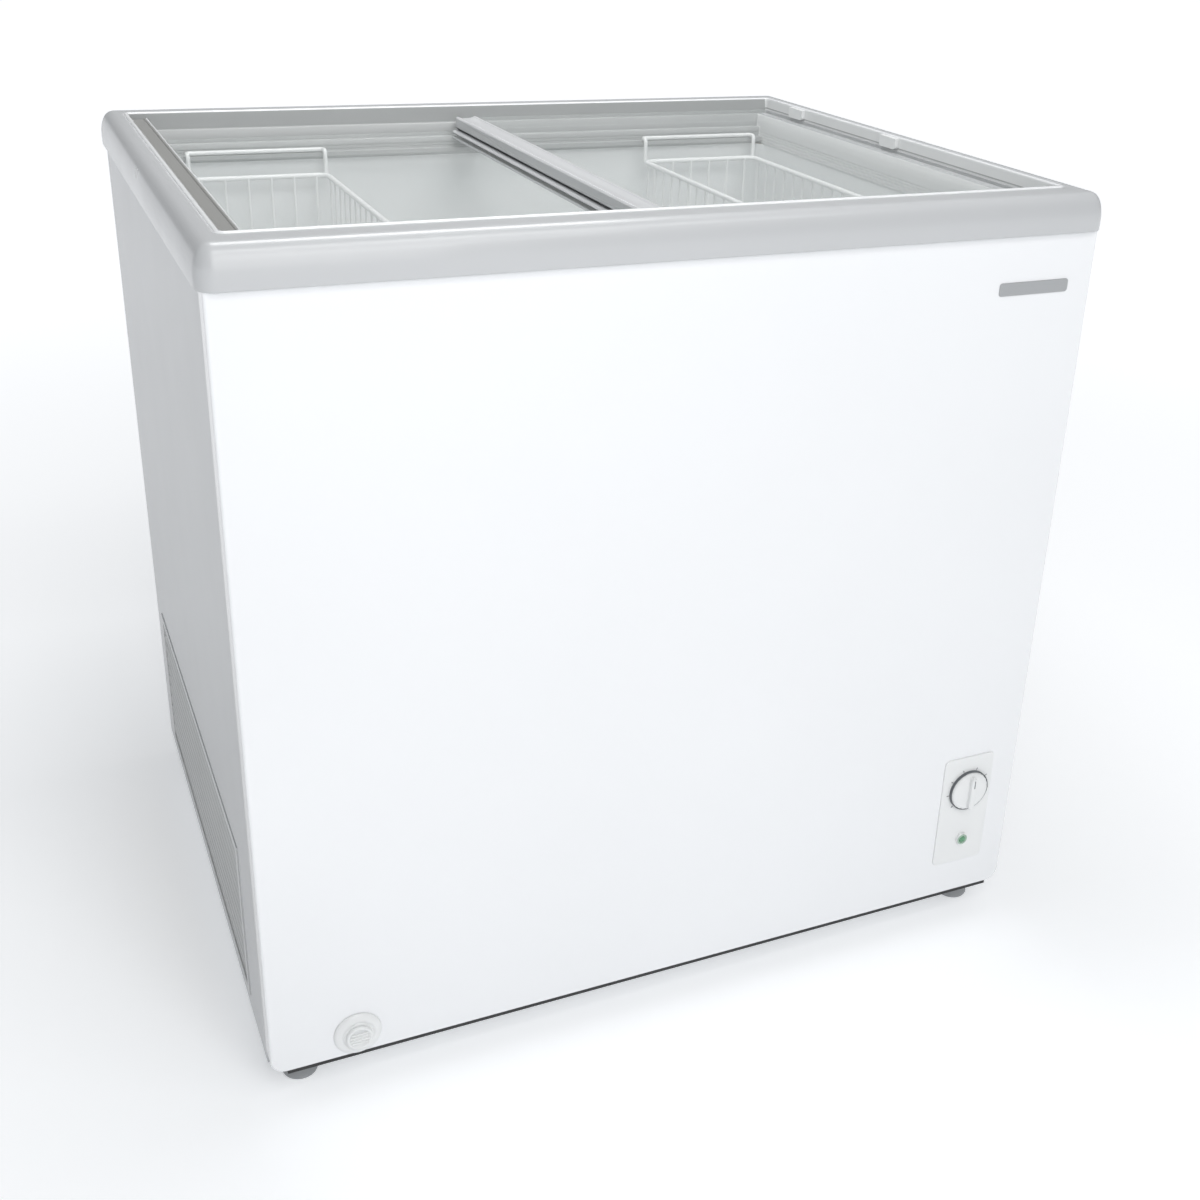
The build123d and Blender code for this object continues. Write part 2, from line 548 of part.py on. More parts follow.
# ---------------------------------------------------------------- controls
def make_controls():
    """Control plate, thermostat with its knob, and the power lamp."""
    face = FRONT - PLATE_T
    plane = Plane(origin=(KNOB_X - 2, FRONT, 150.0), x_dir=(1, 0, 0), z_dir=(0, -1, 0))
    with BuildPart() as plate:
        with BuildSketch(plane):
            RectangleRounded(66.0, 142.0, 6.0)
        extrude(amount=PLATE_T)
        fillet(plate.faces().sort_by(Axis.Y)[0].edges(), 0.8)
        rod((KNOB_X, FRONT - 5, KNOB_Z), (0, 1, 0), 4.0, 10.0, Mode.SUBTRACT)
        rod((KNOB_X, FRONT - 5, LAMP_Z), (0, 1, 0), LAMP_R, 10.0, Mode.SUBTRACT)
    save(plate, "control_plate")

    knob_face = FRONT - PROTRUSION
    with BuildPart() as knob:
        rod((KNOB_X, face - 0.4, KNOB_Z), (0, -1, 0), 24.0, 4.0)
        rod((KNOB_X, face - 4.4, KNOB_Z), (0, -1, 0), 20.0, 3.0)
        fillet(knob.edges().filter_by(GeomType.CIRCLE).group_by(Axis.Y)[0], 2.0)
        block((KNOB_X - 4.5, knob_face, KNOB_Z - 19), (KNOB_X + 4.5, face - 5, KNOB_Z + 19))
        fillet(knob.edges().filter_by(Axis.Z).group_by(Axis.Y)[0], 2.5)
        rod((KNOB_X, face - 1, KNOB_Z), (0, 1, 0), KNOB_SHAFT_R, 22.0)
    save(knob, "thermostat_knob")

    with BuildPart() as thermostat:
        block((KNOB_X - 20, FRONT + 4, KNOB_Z - 22), (KNOB_X + 20, FRONT + 34, KNOB_Z + 22))
        fillet(thermostat.edges().filter_by(Axis.Y), 4.0)
        rod((KNOB_X, FRONT + SHEET, KNOB_Z), (0, 1, 0), 8.0, 4.0)
        rod((KNOB_X, FRONT, KNOB_Z), (0, 1, 0), KNOB_SHAFT_R + 0.06, 24.0, Mode.SUBTRACT)
    save(thermostat, "thermostat_body")

    with BuildPart() as bezel:
        with BuildSketch(Plane(origin=(KNOB_X, face, LAMP_Z), x_dir=(1, 0, 0), z_dir=(0, -1, 0))):
            RegularPolygon(8.0, 6)
        extrude(amount=3.0)
        rod((KNOB_X, face, LAMP_Z), (0, 1, 0), LAMP_R, 24.0)
        rod((KNOB_X, face - 4, LAMP_Z), (0, 1, 0), LENS_R, 12.0, Mode.SUBTRACT)
    save(bezel, "lamp_bezel")

    with BuildPart() as lens:
        rod((KNOB_X, face + 8, LAMP_Z), (0, -1, 0), LENS_R, 12.0)
        fillet(lens.faces().sort_by(Axis.Y)[0].edges(), 2.0)
    save(lens, "lamp_lens")


# ---------------------------------------------------------------- refrigeration
def make_compressor():
    """Hermetic shell on a rubber-mounted plate, with its relay cover."""
    corners = [(COMP_X + sx * COMP_RX, COMP_Y + sy * 50.0) for sx in (-1, 1) for sy in (-1, 1)]
    with BuildPart() as shell:
        with BuildSketch(Plane.XY.offset(COMP_TOP - COMP_H)):
            with Locations((COMP_X, COMP_Y)):
                Ellipse(COMP_RX, COMP_RY)
        extrude(amount=COMP_H)
        fillet(shell.edges().filter_by(GeomType.ELLIPSE), 30.0)
    save(shell, "compressor_shell")

    with BuildPart() as plate:
        with BuildSketch(Plane.XY.offset(COMP_PLATE)):
            with Locations((COMP_X, COMP_Y)):
                RectangleRounded(196.0, 126.0, 10.0)
            with Locations(*corners):
                Circle(4.0, mode=Mode.SUBTRACT)
        extrude(amount=3.0)
    save(plate, "compressor_plate")

    with BuildPart() as grommets:
        for x, y in corners:
            rod((x, y, PAN_FLOOR), (0, 0, 1), 11.0, 14.0)
            rod((x, y, PAN_FLOOR - 1), (0, 0, 1), 4.0, 16.0, Mode.SUBTRACT)
    save(grommets, "compressor_grommets")

    with BuildPart() as bolts:
        for x, y in corners:
            rod((x, y, PAN_FLOOR), (0, 0, 1), 3.0, 20.0)
            with BuildSketch(Plane.XY.offset(COMP_PLATE + 3.0)):
                with Locations((x, y)):
                    RegularPolygon(6.5, 6)
            extrude(amount=5.0)
    save(bolts, "compressor_bolts")

    with BuildPart() as relay:
        block((COMP_X + 60, COMP_Y - 28, COMP_PLATE + 45), (COMP_X + 112, COMP_Y + 28, COMP_PLATE + 105))
        fillet(relay.edges().filter_by(Axis.Z), 6.0)
        with BuildSketch(Plane.XY.offset(COMP_PLATE)):
            with Locations((COMP_X, COMP_Y)):
                Ellipse(COMP_RX, COMP_RY)
        extrude(amount=COMP_H + 10.0, mode=Mode.SUBTRACT)
    save(relay, "relay_cover")


def make_condenser():
    """Stack of fins on a serpentine tube."""
    columns = (COND_X0 + 15.0, COND_X1 - 15.0)
    pitch = 10.0
    count = int((COND_Y1 - COND_Y0) // pitch)
    with BuildPart() as fins:
        for number in range(count):
            y = COND_Y0 + 5.0 + number * pitch
            with BuildSketch(Plane(origin=(0, y, 0), x_dir=(1, 0, 0), z_dir=(0, -1, 0))):
                with Locations(((COND_X0 + COND_X1) / 2, 125.0)):
                    Rectangle(COND_X1 - COND_X0, 130.0)
                for x in columns:
                    with Locations(*[(x, z) for z in COND_ROWS]):
                        Circle(4.1, mode=Mode.SUBTRACT)
            extrude(amount=0.8)
    save(fins, "condenser_fins")

    near, far = COND_Y0 - 18.0, COND_Y1 + 18.0
    route = []
    at_far = False
    for x, rows in ((columns[0], COND_ROWS), (columns[1], tuple(reversed(COND_ROWS)))):
        for z in rows:
            ends = (far, near) if at_far else (near, far)
            route += [(x, ends[0], z), (x, ends[1], z)]
            at_far = not at_far
    with BuildPart() as serpentine:
        bent_tube(route, 4.0, 14.0)
    save(serpentine, "condenser_tube")


def make_fan():
    """Shroud, motor on a bracket, and the spinning blades."""
    plate_x = COND_X1 + 6.0
    bracket_x = plate_x + 34.0
    shaft_r = 3.0
    with BuildPart() as shroud:
        block((plate_x, FAN_Y - 84, FAN_Z - 74), (plate_x + 2, FAN_Y + 84, FAN_Z + 74))
        rod((plate_x, FAN_Y, FAN_Z), (1, 0, 0), 70.0, 20.0)
        rod((plate_x - 1, FAN_Y, FAN_Z), (1, 0, 0), 68.0, 22.0, Mode.SUBTRACT)
        for y in (-78.0, 78.0):
            block((plate_x + 2, FAN_Y + y - 4, FAN_Z - 4), (bracket_x, FAN_Y + y + 4, FAN_Z + 4))
        block((bracket_x, FAN_Y - 82, FAN_Z - 8), (bracket_x + 2, FAN_Y + 82, FAN_Z + 8))
        rod((bracket_x - 1, FAN_Y, FAN_Z), (1, 0, 0), 5.0, 4.0, Mode.SUBTRACT)
    save(shroud, "fan_shroud")

    with BuildPart() as motor:
        rod((bracket_x + 2, FAN_Y, FAN_Z), (1, 0, 0), 27.0, 38.0)
        fillet(motor.edges().group_by(Axis.X)[-1], 5.0)
        rod((bracket_x + 1, FAN_Y, FAN_Z), (1, 0, 0), shaft_r + 0.06, 24.0, Mode.SUBTRACT)
    save(motor, "fan_motor")

    hub_x = plate_x + 4.0
    with BuildPart() as blades:
        rod((hub_x, FAN_Y, FAN_Z), (1, 0, 0), 17.0, 14.0)
        rod((hub_x, FAN_Y, FAN_Z), (1, 0, 0), shaft_r, 50.0)
        hub_plane = Plane(origin=(hub_x + 7, FAN_Y, FAN_Z), x_dir=(0, 1, 0), z_dir=(1, 0, 0))
        with Locations(hub_plane):
            with PolarLocations(39.0, 5):
                Box(48.0, 26.0, 1.8, rotation=(28, 0, 0))
    save(blades, "fan_blades")


def make_piping():
    """Filter dryer and the tubes that join the compressor, condenser and tub coil."""
    dryer_y = -40.0
    dryer_z = 90.0
    with BuildPart() as dryer:
        rod((60, dryer_y, dryer_z), (1, 0, 0), 10.0, 90.0)
        fillet(dryer.edges().filter_by(GeomType.CIRCLE), 6.0)
    save(dryer, "filter_dryer")

    with BuildPart() as discharge:
        points = [(COMP_X - 20, COMP_Y, COMP_TOP), (COMP_X - 20, COMP_Y, COMP_TOP + 20),
                  (20, COMP_Y + 60, COMP_TOP + 20), (20, COMP_Y + 60, COND_ROWS[0]),
                  (COND_X0 + 15, COND_Y1 + 80, COND_ROWS[0])]
        bent_tube(points, 3.0, 9.0)
    save(discharge, "discharge_tube")

    with BuildPart() as suction:
        points = [(COMP_X + 30, COMP_Y, COMP_TOP), (COMP_X + 30, COMP_Y, COMP_TOP + 18),
                  (COMP_X + 30, COMP_Y - 110, COMP_TOP + 18), (COMP_X + 30, COMP_Y - 110, PLINTH_TOP)]
        bent_tube(points, 4.0, 8.0)
    save(suction, "suction_tube")

    with BuildPart() as capillary:
        points = [(150, dryer_y, dryer_z), (190, dryer_y, dryer_z), (190, dryer_y, PLINTH_TOP)]
        bent_tube(points, 1.5, 12.0)
    save(capillary, "capillary_tube")


def make_tub_coil():
    """Cooling tube wound round the outside of the liner."""
    radius = 3.0
    bend = 30.0
    away = 2.0 + COIL_GAP / 2
    turns = 5
    low = TUB_FLOOR + 60.0
    rise = 85.0
    x1, x2 = OPEN_L - away, OPEN_R + away
    y1, y2 = OPEN_F - away, OPEN_B + away
    points = [(x1, 0.0, low)]
    for turn in range(turns):
        z = low + turn * rise
        points += [(x1, y1, z + rise * 0.2), (x2, y1, z + rise * 0.5),
                   (x2, y2, z + rise * 0.7), (x1, y2, z + rise)]
    with BuildPart() as coil:
        bent_tube(points, radius, bend)
    save(coil, "tub_cooling_coil")


def make_cable_gland():
    """Nut and neck that the mains lead passes through in the rear cover."""
    bore_r = 4.0
    nut_t = 5.0
    with BuildPart() as gland:
        rod((GLAND_X, BACK - 8, GLAND_Z), (0, 1, 0), GLAND_R, 12.0)
        with BuildSketch(Plane(origin=(GLAND_X, BACK, GLAND_Z), x_dir=(1, 0, 0), z_dir=(0, 1, 0))):
            RegularPolygon(11.0, 6)
        extrude(amount=nut_t)
        rod((GLAND_X, BACK + nut_t, GLAND_Z), (0, 1, 0), GLAND_R, 6.0)
        rod((GLAND_X, BACK - 9, GLAND_Z), (0, 1, 0), bore_r, 30.0, Mode.SUBTRACT)
    save(gland, "cable_gland")


make_front_panel()
make_side_panel(-1, "left_side_panel")
make_side_panel(1, "right_side_panel")
make_louvre_grille(-1, "left_louvre_grille")
make_louvre_grille(1, "right_louvre_grille")
make_back_panel()
make_rear_cover()
make_cover_screws()
make_base_pan()
make_feet()
make_rear_spacers()
make_badge_plate()
make_foam()
make_liner()
make_collar()
make_basket_rails()
make_drain_fitting()
make_drain_stopper()
make_drain_tube()
make_drain_flange()
make_drain_cap()
make_top_frame()
make_lid_keepers()
make_lids()
make_basket(BASKET_LEFT_X, "left_basket")
make_basket(BASKET_RIGHT_X, "right_basket")
make_controls()
make_compressor()
make_condenser()
make_fan()
make_piping()
make_tub_coil()
make_cable_gland()
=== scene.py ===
import json
import math

import bmesh
import bpy
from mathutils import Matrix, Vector


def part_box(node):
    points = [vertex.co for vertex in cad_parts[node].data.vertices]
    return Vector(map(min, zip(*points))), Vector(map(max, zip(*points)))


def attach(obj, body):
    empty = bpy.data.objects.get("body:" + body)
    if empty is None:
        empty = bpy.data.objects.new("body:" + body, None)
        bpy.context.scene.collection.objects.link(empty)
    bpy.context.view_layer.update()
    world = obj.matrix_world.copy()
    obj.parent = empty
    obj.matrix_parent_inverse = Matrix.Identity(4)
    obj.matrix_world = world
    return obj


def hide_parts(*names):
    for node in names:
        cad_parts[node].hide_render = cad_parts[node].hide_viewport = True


# Looks for a chest freezer with sliding glass lids. Metres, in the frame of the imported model.
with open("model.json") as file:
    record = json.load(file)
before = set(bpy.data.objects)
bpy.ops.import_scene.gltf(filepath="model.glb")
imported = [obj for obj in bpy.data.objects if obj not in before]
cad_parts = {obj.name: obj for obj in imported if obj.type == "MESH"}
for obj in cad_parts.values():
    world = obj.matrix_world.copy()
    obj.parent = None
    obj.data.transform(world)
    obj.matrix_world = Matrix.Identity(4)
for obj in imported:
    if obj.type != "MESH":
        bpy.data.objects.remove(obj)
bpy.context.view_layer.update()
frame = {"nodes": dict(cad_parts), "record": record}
nodes = frame["nodes"]
MM = 0.001
# The bright beads paint highlight lines along the lid strips.
BEAD = 0.9 * MM          # radius of the bright beads on the lid strips
BEAD_END = 1 * MM        # gap from a bead's end to the strip's end


# ---------------------------------------------------------------- camera, floor and lights
def place_camera():
    """Stands in front and to the left, above the lids, looking down at the cabinet."""
    place = Vector((-0.581, -1.496, 1.119))
    target = Vector((0.162, 0.071, 0.344))
    roll = math.radians(2.4)
    forward = (target - place).normalized()
    level = forward.cross(Vector((0, 0, 1))).normalized()
    upright = level.cross(forward)
    right = level * math.cos(roll) + upright * math.sin(roll)
    up = upright * math.cos(roll) - level * math.sin(roll)
    data = bpy.data.cameras.new("camera")
    data.lens = 44.6
    data.shift_x = -0.05
    data.shift_y = -0.05
    data.clip_end = 60
    camera = bpy.data.objects.new("camera", data)
    bpy.context.scene.collection.objects.link(camera)
    matrix = camera.matrix_world.copy()
    for row in range(3):
        matrix[row][0], matrix[row][1], matrix[row][2] = right[row], up[row], -forward[row]
        matrix[row][3] = place[row]
    camera.matrix_world = matrix
    bpy.context.scene.camera = camera


def add_light(name, kind, energy, place, target, size=1.0, size_y=None):
    """A lamp aimed at a target; size is metres for an area lamp and an angle for the sun."""
    data = bpy.data.lights.new(name, kind)
    data.energy = energy
    if kind == "AREA":
        data.shape = "RECTANGLE"
        data.size = size
        data.size_y = size_y or size
    else:
        data.angle = size
    lamp = bpy.data.objects.new(name, data)
    bpy.context.scene.collection.objects.link(lamp)
    lamp.location = place
    lamp.rotation_euler = (Vector(target) - Vector(place)).to_track_quat("-Z", "Y").to_euler()


def light_scene():
    """Even pale surroundings, a broad key, a strip overhead, a soft front fill and a light over the tub."""
    world = bpy.data.worlds.new("surroundings")
    world.use_nodes = True
    background = world.node_tree.nodes["Background"]
    background.inputs["Color"].default_value = (0.96, 0.98, 1.0, 1)
    background.inputs["Strength"].default_value = 0.33
    bpy.context.scene.world = world
    add_light("key", "SUN", 0.70, (0.4, -3.0, 3.0), (0, 0, 0.4), size=math.radians(35))
    add_light("strip", "AREA", 8, (0.3, -1.5, 2.5), (0.1, -0.3, 0.8), size=2.2, size_y=0.35)
    add_light("front_fill", "AREA", 4.0, (-0.3, -1.45, 1.15), (-0.15, -0.35, 0.62), size=0.7)
    add_light("tub_light", "AREA", 10, (0.0, 0.1, 1.9), (0, 0.05, 0.3), size=0.8, size_y=0.6)
    bpy.context.scene.view_settings.view_transform = "Standard"


# ---------------------------------------------------------------- materials
def start_material(name):
    """A new node material, with its shader and its texture coordinates."""
    material = bpy.data.materials.new(name)
    material.use_nodes = True
    tree = material.node_tree
    shader = tree.nodes["Principled BSDF"]
    coords = tree.nodes.new("ShaderNodeTexCoord")
    return material, tree, shader, coords


def add_noise(tree, coords, scale, detail=3.0, stretch=None):
    """Noise in object coordinates, drawn out along an axis when stretch is given."""
    noise = tree.nodes.new("ShaderNodeTexNoise")
    noise.inputs["Scale"].default_value = scale
    noise.inputs["Detail"].default_value = detail
    if stretch:
        mapping = tree.nodes.new("ShaderNodeMapping")
        mapping.inputs["Scale"].default_value = stretch
        tree.links.new(coords.outputs["Object"], mapping.inputs["Vector"])
        tree.links.new(mapping.outputs["Vector"], noise.inputs["Vector"])
    else:
        tree.links.new(coords.outputs["Object"], noise.inputs["Vector"])
    return noise


def add_ramp(tree, source, low, high, start=0.3, end=0.7):
    """Turns a value into a colour between low and high."""
    ramp = tree.nodes.new("ShaderNodeValToRGB")
    ramp.color_ramp.elements[0].position = start
    ramp.color_ramp.elements[0].color = low
    ramp.color_ramp.elements[1].position = end
    ramp.color_ramp.elements[1].color = high
    tree.links.new(source, ramp.inputs["Fac"])
    return ramp


def add_range(tree, source, low, high):
    """Maps a value from 0 to 1 onto low to high."""
    spread = tree.nodes.new("ShaderNodeMapRange")
    spread.inputs["To Min"].default_value = low
    spread.inputs["To Max"].default_value = high
    tree.links.new(source, spread.inputs["Value"])
    return spread


def shade(color, factor):
    """The colour made lighter or darker, with full opacity."""
    return tuple(min(1.0, channel * factor) for channel in color) + (1.0,)


def make_surface(name, color, roughness, patch=2.5, vary=0.03, grain=900.0, grain_height=0.00002,
                 grain_strength=0.3, stretch=None, metallic=0.0, coat=0.0, rough_vary=0.06):
    """A coloured surface with slow tone drift, uneven gloss and a fine grain."""
    material, tree, shader, coords = start_material(name)
    drift = add_noise(tree, coords, patch)
    tone = add_ramp(tree, drift.outputs["Fac"], shade(color, 1 - vary), shade(color, 1 + vary))
    tree.links.new(tone.outputs["Color"], shader.inputs["Base Color"])
    smear = add_noise(tree, coords, patch * 6, stretch=stretch)
    gloss = add_range(tree, smear.outputs["Fac"], roughness - rough_vary, roughness + rough_vary)
    tree.links.new(gloss.outputs["Result"], shader.inputs["Roughness"])
    fine = add_noise(tree, coords, grain, stretch=stretch)
    bump = tree.nodes.new("ShaderNodeBump")
    bump.inputs["Strength"].default_value = grain_strength
    bump.inputs["Distance"].default_value = grain_height
    tree.links.new(fine.outputs["Fac"], bump.inputs["Height"])
    tree.links.new(bump.outputs["Normal"], shader.inputs["Normal"])
    shader.inputs["Metallic"].default_value = metallic
    shader.inputs["Coat Weight"].default_value = coat
    shader.inputs["Coat Roughness"].default_value = 0.08
    return material


def make_galvanised():
    """Zinc-coated sheet with a faint spangle."""
    material, tree, shader, coords = start_material("galvanised_sheet")
    cells = tree.nodes.new("ShaderNodeTexVoronoi")
    cells.inputs["Scale"].default_value = 55.0
    tree.links.new(coords.outputs["Object"], cells.inputs["Vector"])
    tone = add_ramp(tree, cells.outputs["Distance"], (0.52, 0.54, 0.55, 1), (0.68, 0.70, 0.71, 1), 0.1, 0.9)
    tree.links.new(tone.outputs["Color"], shader.inputs["Base Color"])
    gloss = add_range(tree, cells.outputs["Distance"], 0.34, 0.52)
    tree.links.new(gloss.outputs["Result"], shader.inputs["Roughness"])
    shader.inputs["Metallic"].default_value = 0.85
    return material


def make_glass_material():
    """Clear toughened glass: mostly open, with a soft reflection and a faint pale film whose opacity and
    tint vary in patches.
    """
    material, tree, shader, coords = start_material("lid_glass_clear")
    haze = add_noise(tree, coords, 5.0)
    opacity = add_range(tree, haze.outputs["Fac"], 0.10, 0.17)
    tree.links.new(opacity.outputs["Result"], shader.inputs["Alpha"])
    tint = add_ramp(tree, haze.outputs["Fac"], (0.86, 0.92, 0.91, 1), (0.94, 0.97, 0.96, 1))
    tree.links.new(tint.outputs["Color"], shader.inputs["Base Color"])
    smear = add_noise(tree, coords, 14.0)
    gloss = add_range(tree, smear.outputs["Fac"], 0.03, 0.10)
    tree.links.new(gloss.outputs["Result"], shader.inputs["Roughness"])
    shader.inputs["Coat Weight"].default_value = 0.3
    return material


def make_lens_material():
    """Green lamp lens with a faint glow."""
    material, tree, shader, coords = start_material("lamp_lens_green")
    ribs = add_noise(tree, coords, 900.0)
    tone = add_ramp(tree, ribs.outputs["Fac"], (0.06, 0.20, 0.10, 1), (0.12, 0.34, 0.18, 1))
    tree.links.new(tone.outputs["Color"], shader.inputs["Base Color"])
    tree.links.new(tone.outputs["Color"], shader.inputs["Emission Color"])
    shader.inputs["Emission Strength"].default_value = 0.05
    shader.inputs["Roughness"].default_value = 0.15
    shader.inputs["Coat Weight"].default_value = 0.6
    return material


def make_floor_material():
    """Matt white studio floor that glows more strongly away from the object."""
    near, far = 0.8, 3.0
    near_glow, far_glow = 0.32, 0.62
    material = make_surface("floor", (0.88, 0.89, 0.90), 0.9, patch=0.8, vary=0.008, grain=300)
    tree = material.node_tree
    shader = tree.nodes["Principled BSDF"]
    coords = tree.nodes.new("ShaderNodeTexCoord")
    distance = tree.nodes.new("ShaderNodeVectorMath")
    distance.operation = "LENGTH"
    tree.links.new(coords.outputs["Object"], distance.inputs[0])
    glow = add_range(tree, distance.outputs["Value"], near_glow, far_glow)
    glow.inputs["From Min"].default_value = near
    glow.inputs["From Max"].default_value = far
    tree.links.new(glow.outputs["Result"], shader.inputs["Emission Strength"])
    shader.inputs["Emission Color"].default_value = (0.97, 0.98, 1.0, 1)
    shader.inputs["Specular IOR Level"].default_value = 0.0
    return material


M = {
    "white_enamel": make_surface("white_enamel", (0.84, 0.85, 0.865), 0.26, vary=0.012, grain=220,
                                 grain_height=0.00002, grain_strength=0.04, coat=0.3, rough_vary=0.02),
    # The sides are the same white enamel; this darker copy is painted shade for the sides turned from the
    # light.
    "side_enamel": make_surface("side_enamel", (0.50, 0.51, 0.52), 0.34, vary=0.02, grain=220,
                                grain_height=0.00002, grain_strength=0.05, coat=0.15, rough_vary=0.03),
    "frame_plastic": make_surface("frame_plastic", (0.52, 0.53, 0.54), 0.30, vary=0.02, grain=1600,
                                  grain_height=0.00003, coat=0.25),
    # Copies of the frame's grey made darker and lighter: painted shade for the tracks, painted light for the
    # right-hand ends, painted highlight for the lip and the lid beads.
    "painted_shade_track_plastic": make_surface("painted_shade_track_plastic", (0.40, 0.41, 0.41), 0.38, vary=0.03, grain=1600),
    "painted_light_end_plastic": make_surface("painted_light_end_plastic", (0.74, 0.75, 0.75), 0.32, vary=0.02, grain=1600),
    "painted_highlight_plastic": make_surface("painted_highlight_plastic", (0.82, 0.83, 0.84), 0.22, vary=0.015, grain=1500, coat=0.3),
    "collar_plastic": make_surface("collar_plastic", (0.42, 0.43, 0.43), 0.42, vary=0.03, grain=1400),
    "white_plastic": make_surface("white_plastic", (0.80, 0.81, 0.81), 0.32, vary=0.015, grain=1500),
    "louvre_plastic": make_surface("louvre_plastic", (0.62, 0.63, 0.63), 0.45, vary=0.04, grain=1200),
    "galvanised": make_galvanised(),
    "foam": make_surface("foam", (0.72, 0.62, 0.40), 0.85, patch=8, vary=0.1, grain=300,
                         grain_height=0.0006, grain_strength=0.6),
    "liner_enamel": make_surface("liner_enamel", (0.86, 0.88, 0.88), 0.32, vary=0.012, grain=220,
                                 grain_height=0.00002, grain_strength=0.04, rough_vary=0.02),
    "glass": make_glass_material(),
    "profile_plastic": make_surface("profile_plastic", (0.60, 0.61, 0.62), 0.28, vary=0.02, grain=1500,
                                    stretch=(1, 0.05, 1), coat=0.2),
    # Dark grey standing for the shade seen on the lower lid's outer end: painted shade.
    "dark_strip": make_surface("dark_strip", (0.27, 0.27, 0.26), 0.42, vary=0.04, grain=1400,
                               stretch=(1, 0.05, 1)),
    "brush": make_surface("brush", (0.12, 0.12, 0.13), 0.9, patch=60, vary=0.25, grain=2500,
                          grain_height=0.0003, grain_strength=0.8),
    "coated_wire": make_surface("coated_wire", (0.90, 0.91, 0.91), 0.30, vary=0.02, grain=700,
                                grain_height=0.00006),
    "foot_plastic": make_surface("foot_plastic", (0.30, 0.31, 0.32), 0.5, vary=0.06, grain=900,
                                 grain_height=0.00008),
    "rubber": make_surface("rubber", (0.035, 0.035, 0.036), 0.75, vary=0.12, grain=900,
                           grain_height=0.0001),
    "black_enamel": make_surface("black_enamel", (0.018, 0.018, 0.019), 0.28, vary=0.15, grain=260,
                                 grain_height=0.0001, coat=0.3),
    "black_plastic": make_surface("black_plastic", (0.03, 0.03, 0.032), 0.48, vary=0.1, grain=1300),
    "copper": make_surface("copper", (0.72, 0.36, 0.22), 0.30, patch=14, vary=0.18, grain=500,
                           metallic=1.0, rough_vary=0.12),
    "aluminium": make_surface("aluminium", (0.74, 0.75, 0.76), 0.34, patch=20, vary=0.05, grain=900,
                              metallic=1.0, stretch=(1, 1, 0.1)),
    "screw_steel": make_surface("screw_steel", (0.62, 0.62, 0.60), 0.30, patch=90, vary=0.08, grain=1600,
                                metallic=1.0),
    "lamp_green": make_lens_material(),
    "lamp_halo": make_surface("lamp_halo", (0.36, 0.50, 0.40), 0.25, vary=0.03, grain=900, coat=0.4),
    "badge": make_surface("badge", (0.40, 0.41, 0.42), 0.45, vary=0.03, grain=1800, metallic=0.3),
    "hose": make_surface("hose", (0.62, 0.64, 0.63), 0.5, vary=0.04, grain=600),
    # Dark print for the pointer and ticks, also used as painted shade for the ring round the knob.
    "dial_print_and_shade": make_surface("dial_print_and_shade", (0.12, 0.13, 0.14), 0.55, vary=0.05, grain=1500),
    "floor": make_floor_material(),
}


def dress_cad_nodes():
    """Every carried-over node takes the material of its slot in the record."""
    for part in frame["record"]["subparts"]:
        mesh = nodes[part["node"]].data
        mesh.materials.clear()
        mesh.materials.append(M[part["material_slot"]])


# ---------------------------------------------------------------- mesh tools
def add_piece(name, mesh, material, body, replaces=()):
    """Puts a finished mesh or curve in the scene and ties it to its body and slot."""
    piece = bpy.data.objects.new(name, mesh)
    bpy.context.scene.collection.objects.link(piece)
    if not piece.data.materials:
        piece.data.materials.append(material)
    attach(piece, body)
    if replaces:
        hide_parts(*replaces)
    return piece


def mesh_from(name, points, faces, smooth=True):
    mesh = bpy.data.meshes.new(name)
    mesh.from_pydata(points, [], faces)
    if smooth:
        mesh.shade_smooth()
    mesh.validate()
    return mesh


def soften(piece, width, segments=2, angle=40):
    """Small rounded edges with even shading."""
    bevel = piece.modifiers.new("edges", "BEVEL")
    bevel.width = width
    bevel.segments = segments
    bevel.limit_method = "ANGLE"
    bevel.angle_limit = math.radians(angle)
    bevel.harden_normals = True
    return piece


def rounded_loop(x0, x1, y0, y1, radius, z, steps=8):
    """Points round a rectangle with round corners, counter-clockwise."""
    points = []
    centres = ((x1 - radius, y0 + radius, -90), (x1 - radius, y1 - radius, 0),
               (x0 + radius, y1 - radius, 90), (x0 + radius, y0 + radius, 180))
    for cx, cy, start in centres:
        for step in range(steps + 1):
            turn = math.radians(start + 90 * step / steps)
            points.append((cx + radius * math.cos(turn), cy + radius * math.sin(turn), z))
    return points


def skin_loops(name, loops, closed=False):
    """Joins a list of equal point loops into one surface; returns the mesh and faces per band."""
    count = len(loops[0])
    points = [point for loop in loops for point in loop]
    faces = []
    bands = len(loops) if closed else len(loops) - 1
    for band in range(bands):
        a, b = band * count, ((band + 1) % len(loops)) * count
        for i in range(count):
            j = (i + 1) % count
            faces.append((a + i, a + j, b + j, b + i))
    return mesh_from(name, points, faces), count


def turned(name, profile, origin, axis, steps=48):
    """A lathe form: profile is (radius, distance along axis) from the axis out and back to it."""
    axis = Vector(axis).normalized()
    side = axis.orthogonal().normalized()
    other = axis.cross(side)
    points = []
    for radius, along in profile:
        for step in range(steps):
            turn = math.tau * step / steps
            offset = side * (radius * math.cos(turn)) + other * (radius * math.sin(turn))
            points.append(tuple(Vector(origin) + axis * along + offset))
    faces = []
    for band in range(len(profile) - 1):
        for i in range(steps):
            j = (i + 1) % steps
            a, b = band * steps, (band + 1) * steps
            faces.append((a + i, b + i, b + j, a + j))
    mesh = mesh_from(name, points, faces)
    merge_close(mesh)
    return mesh


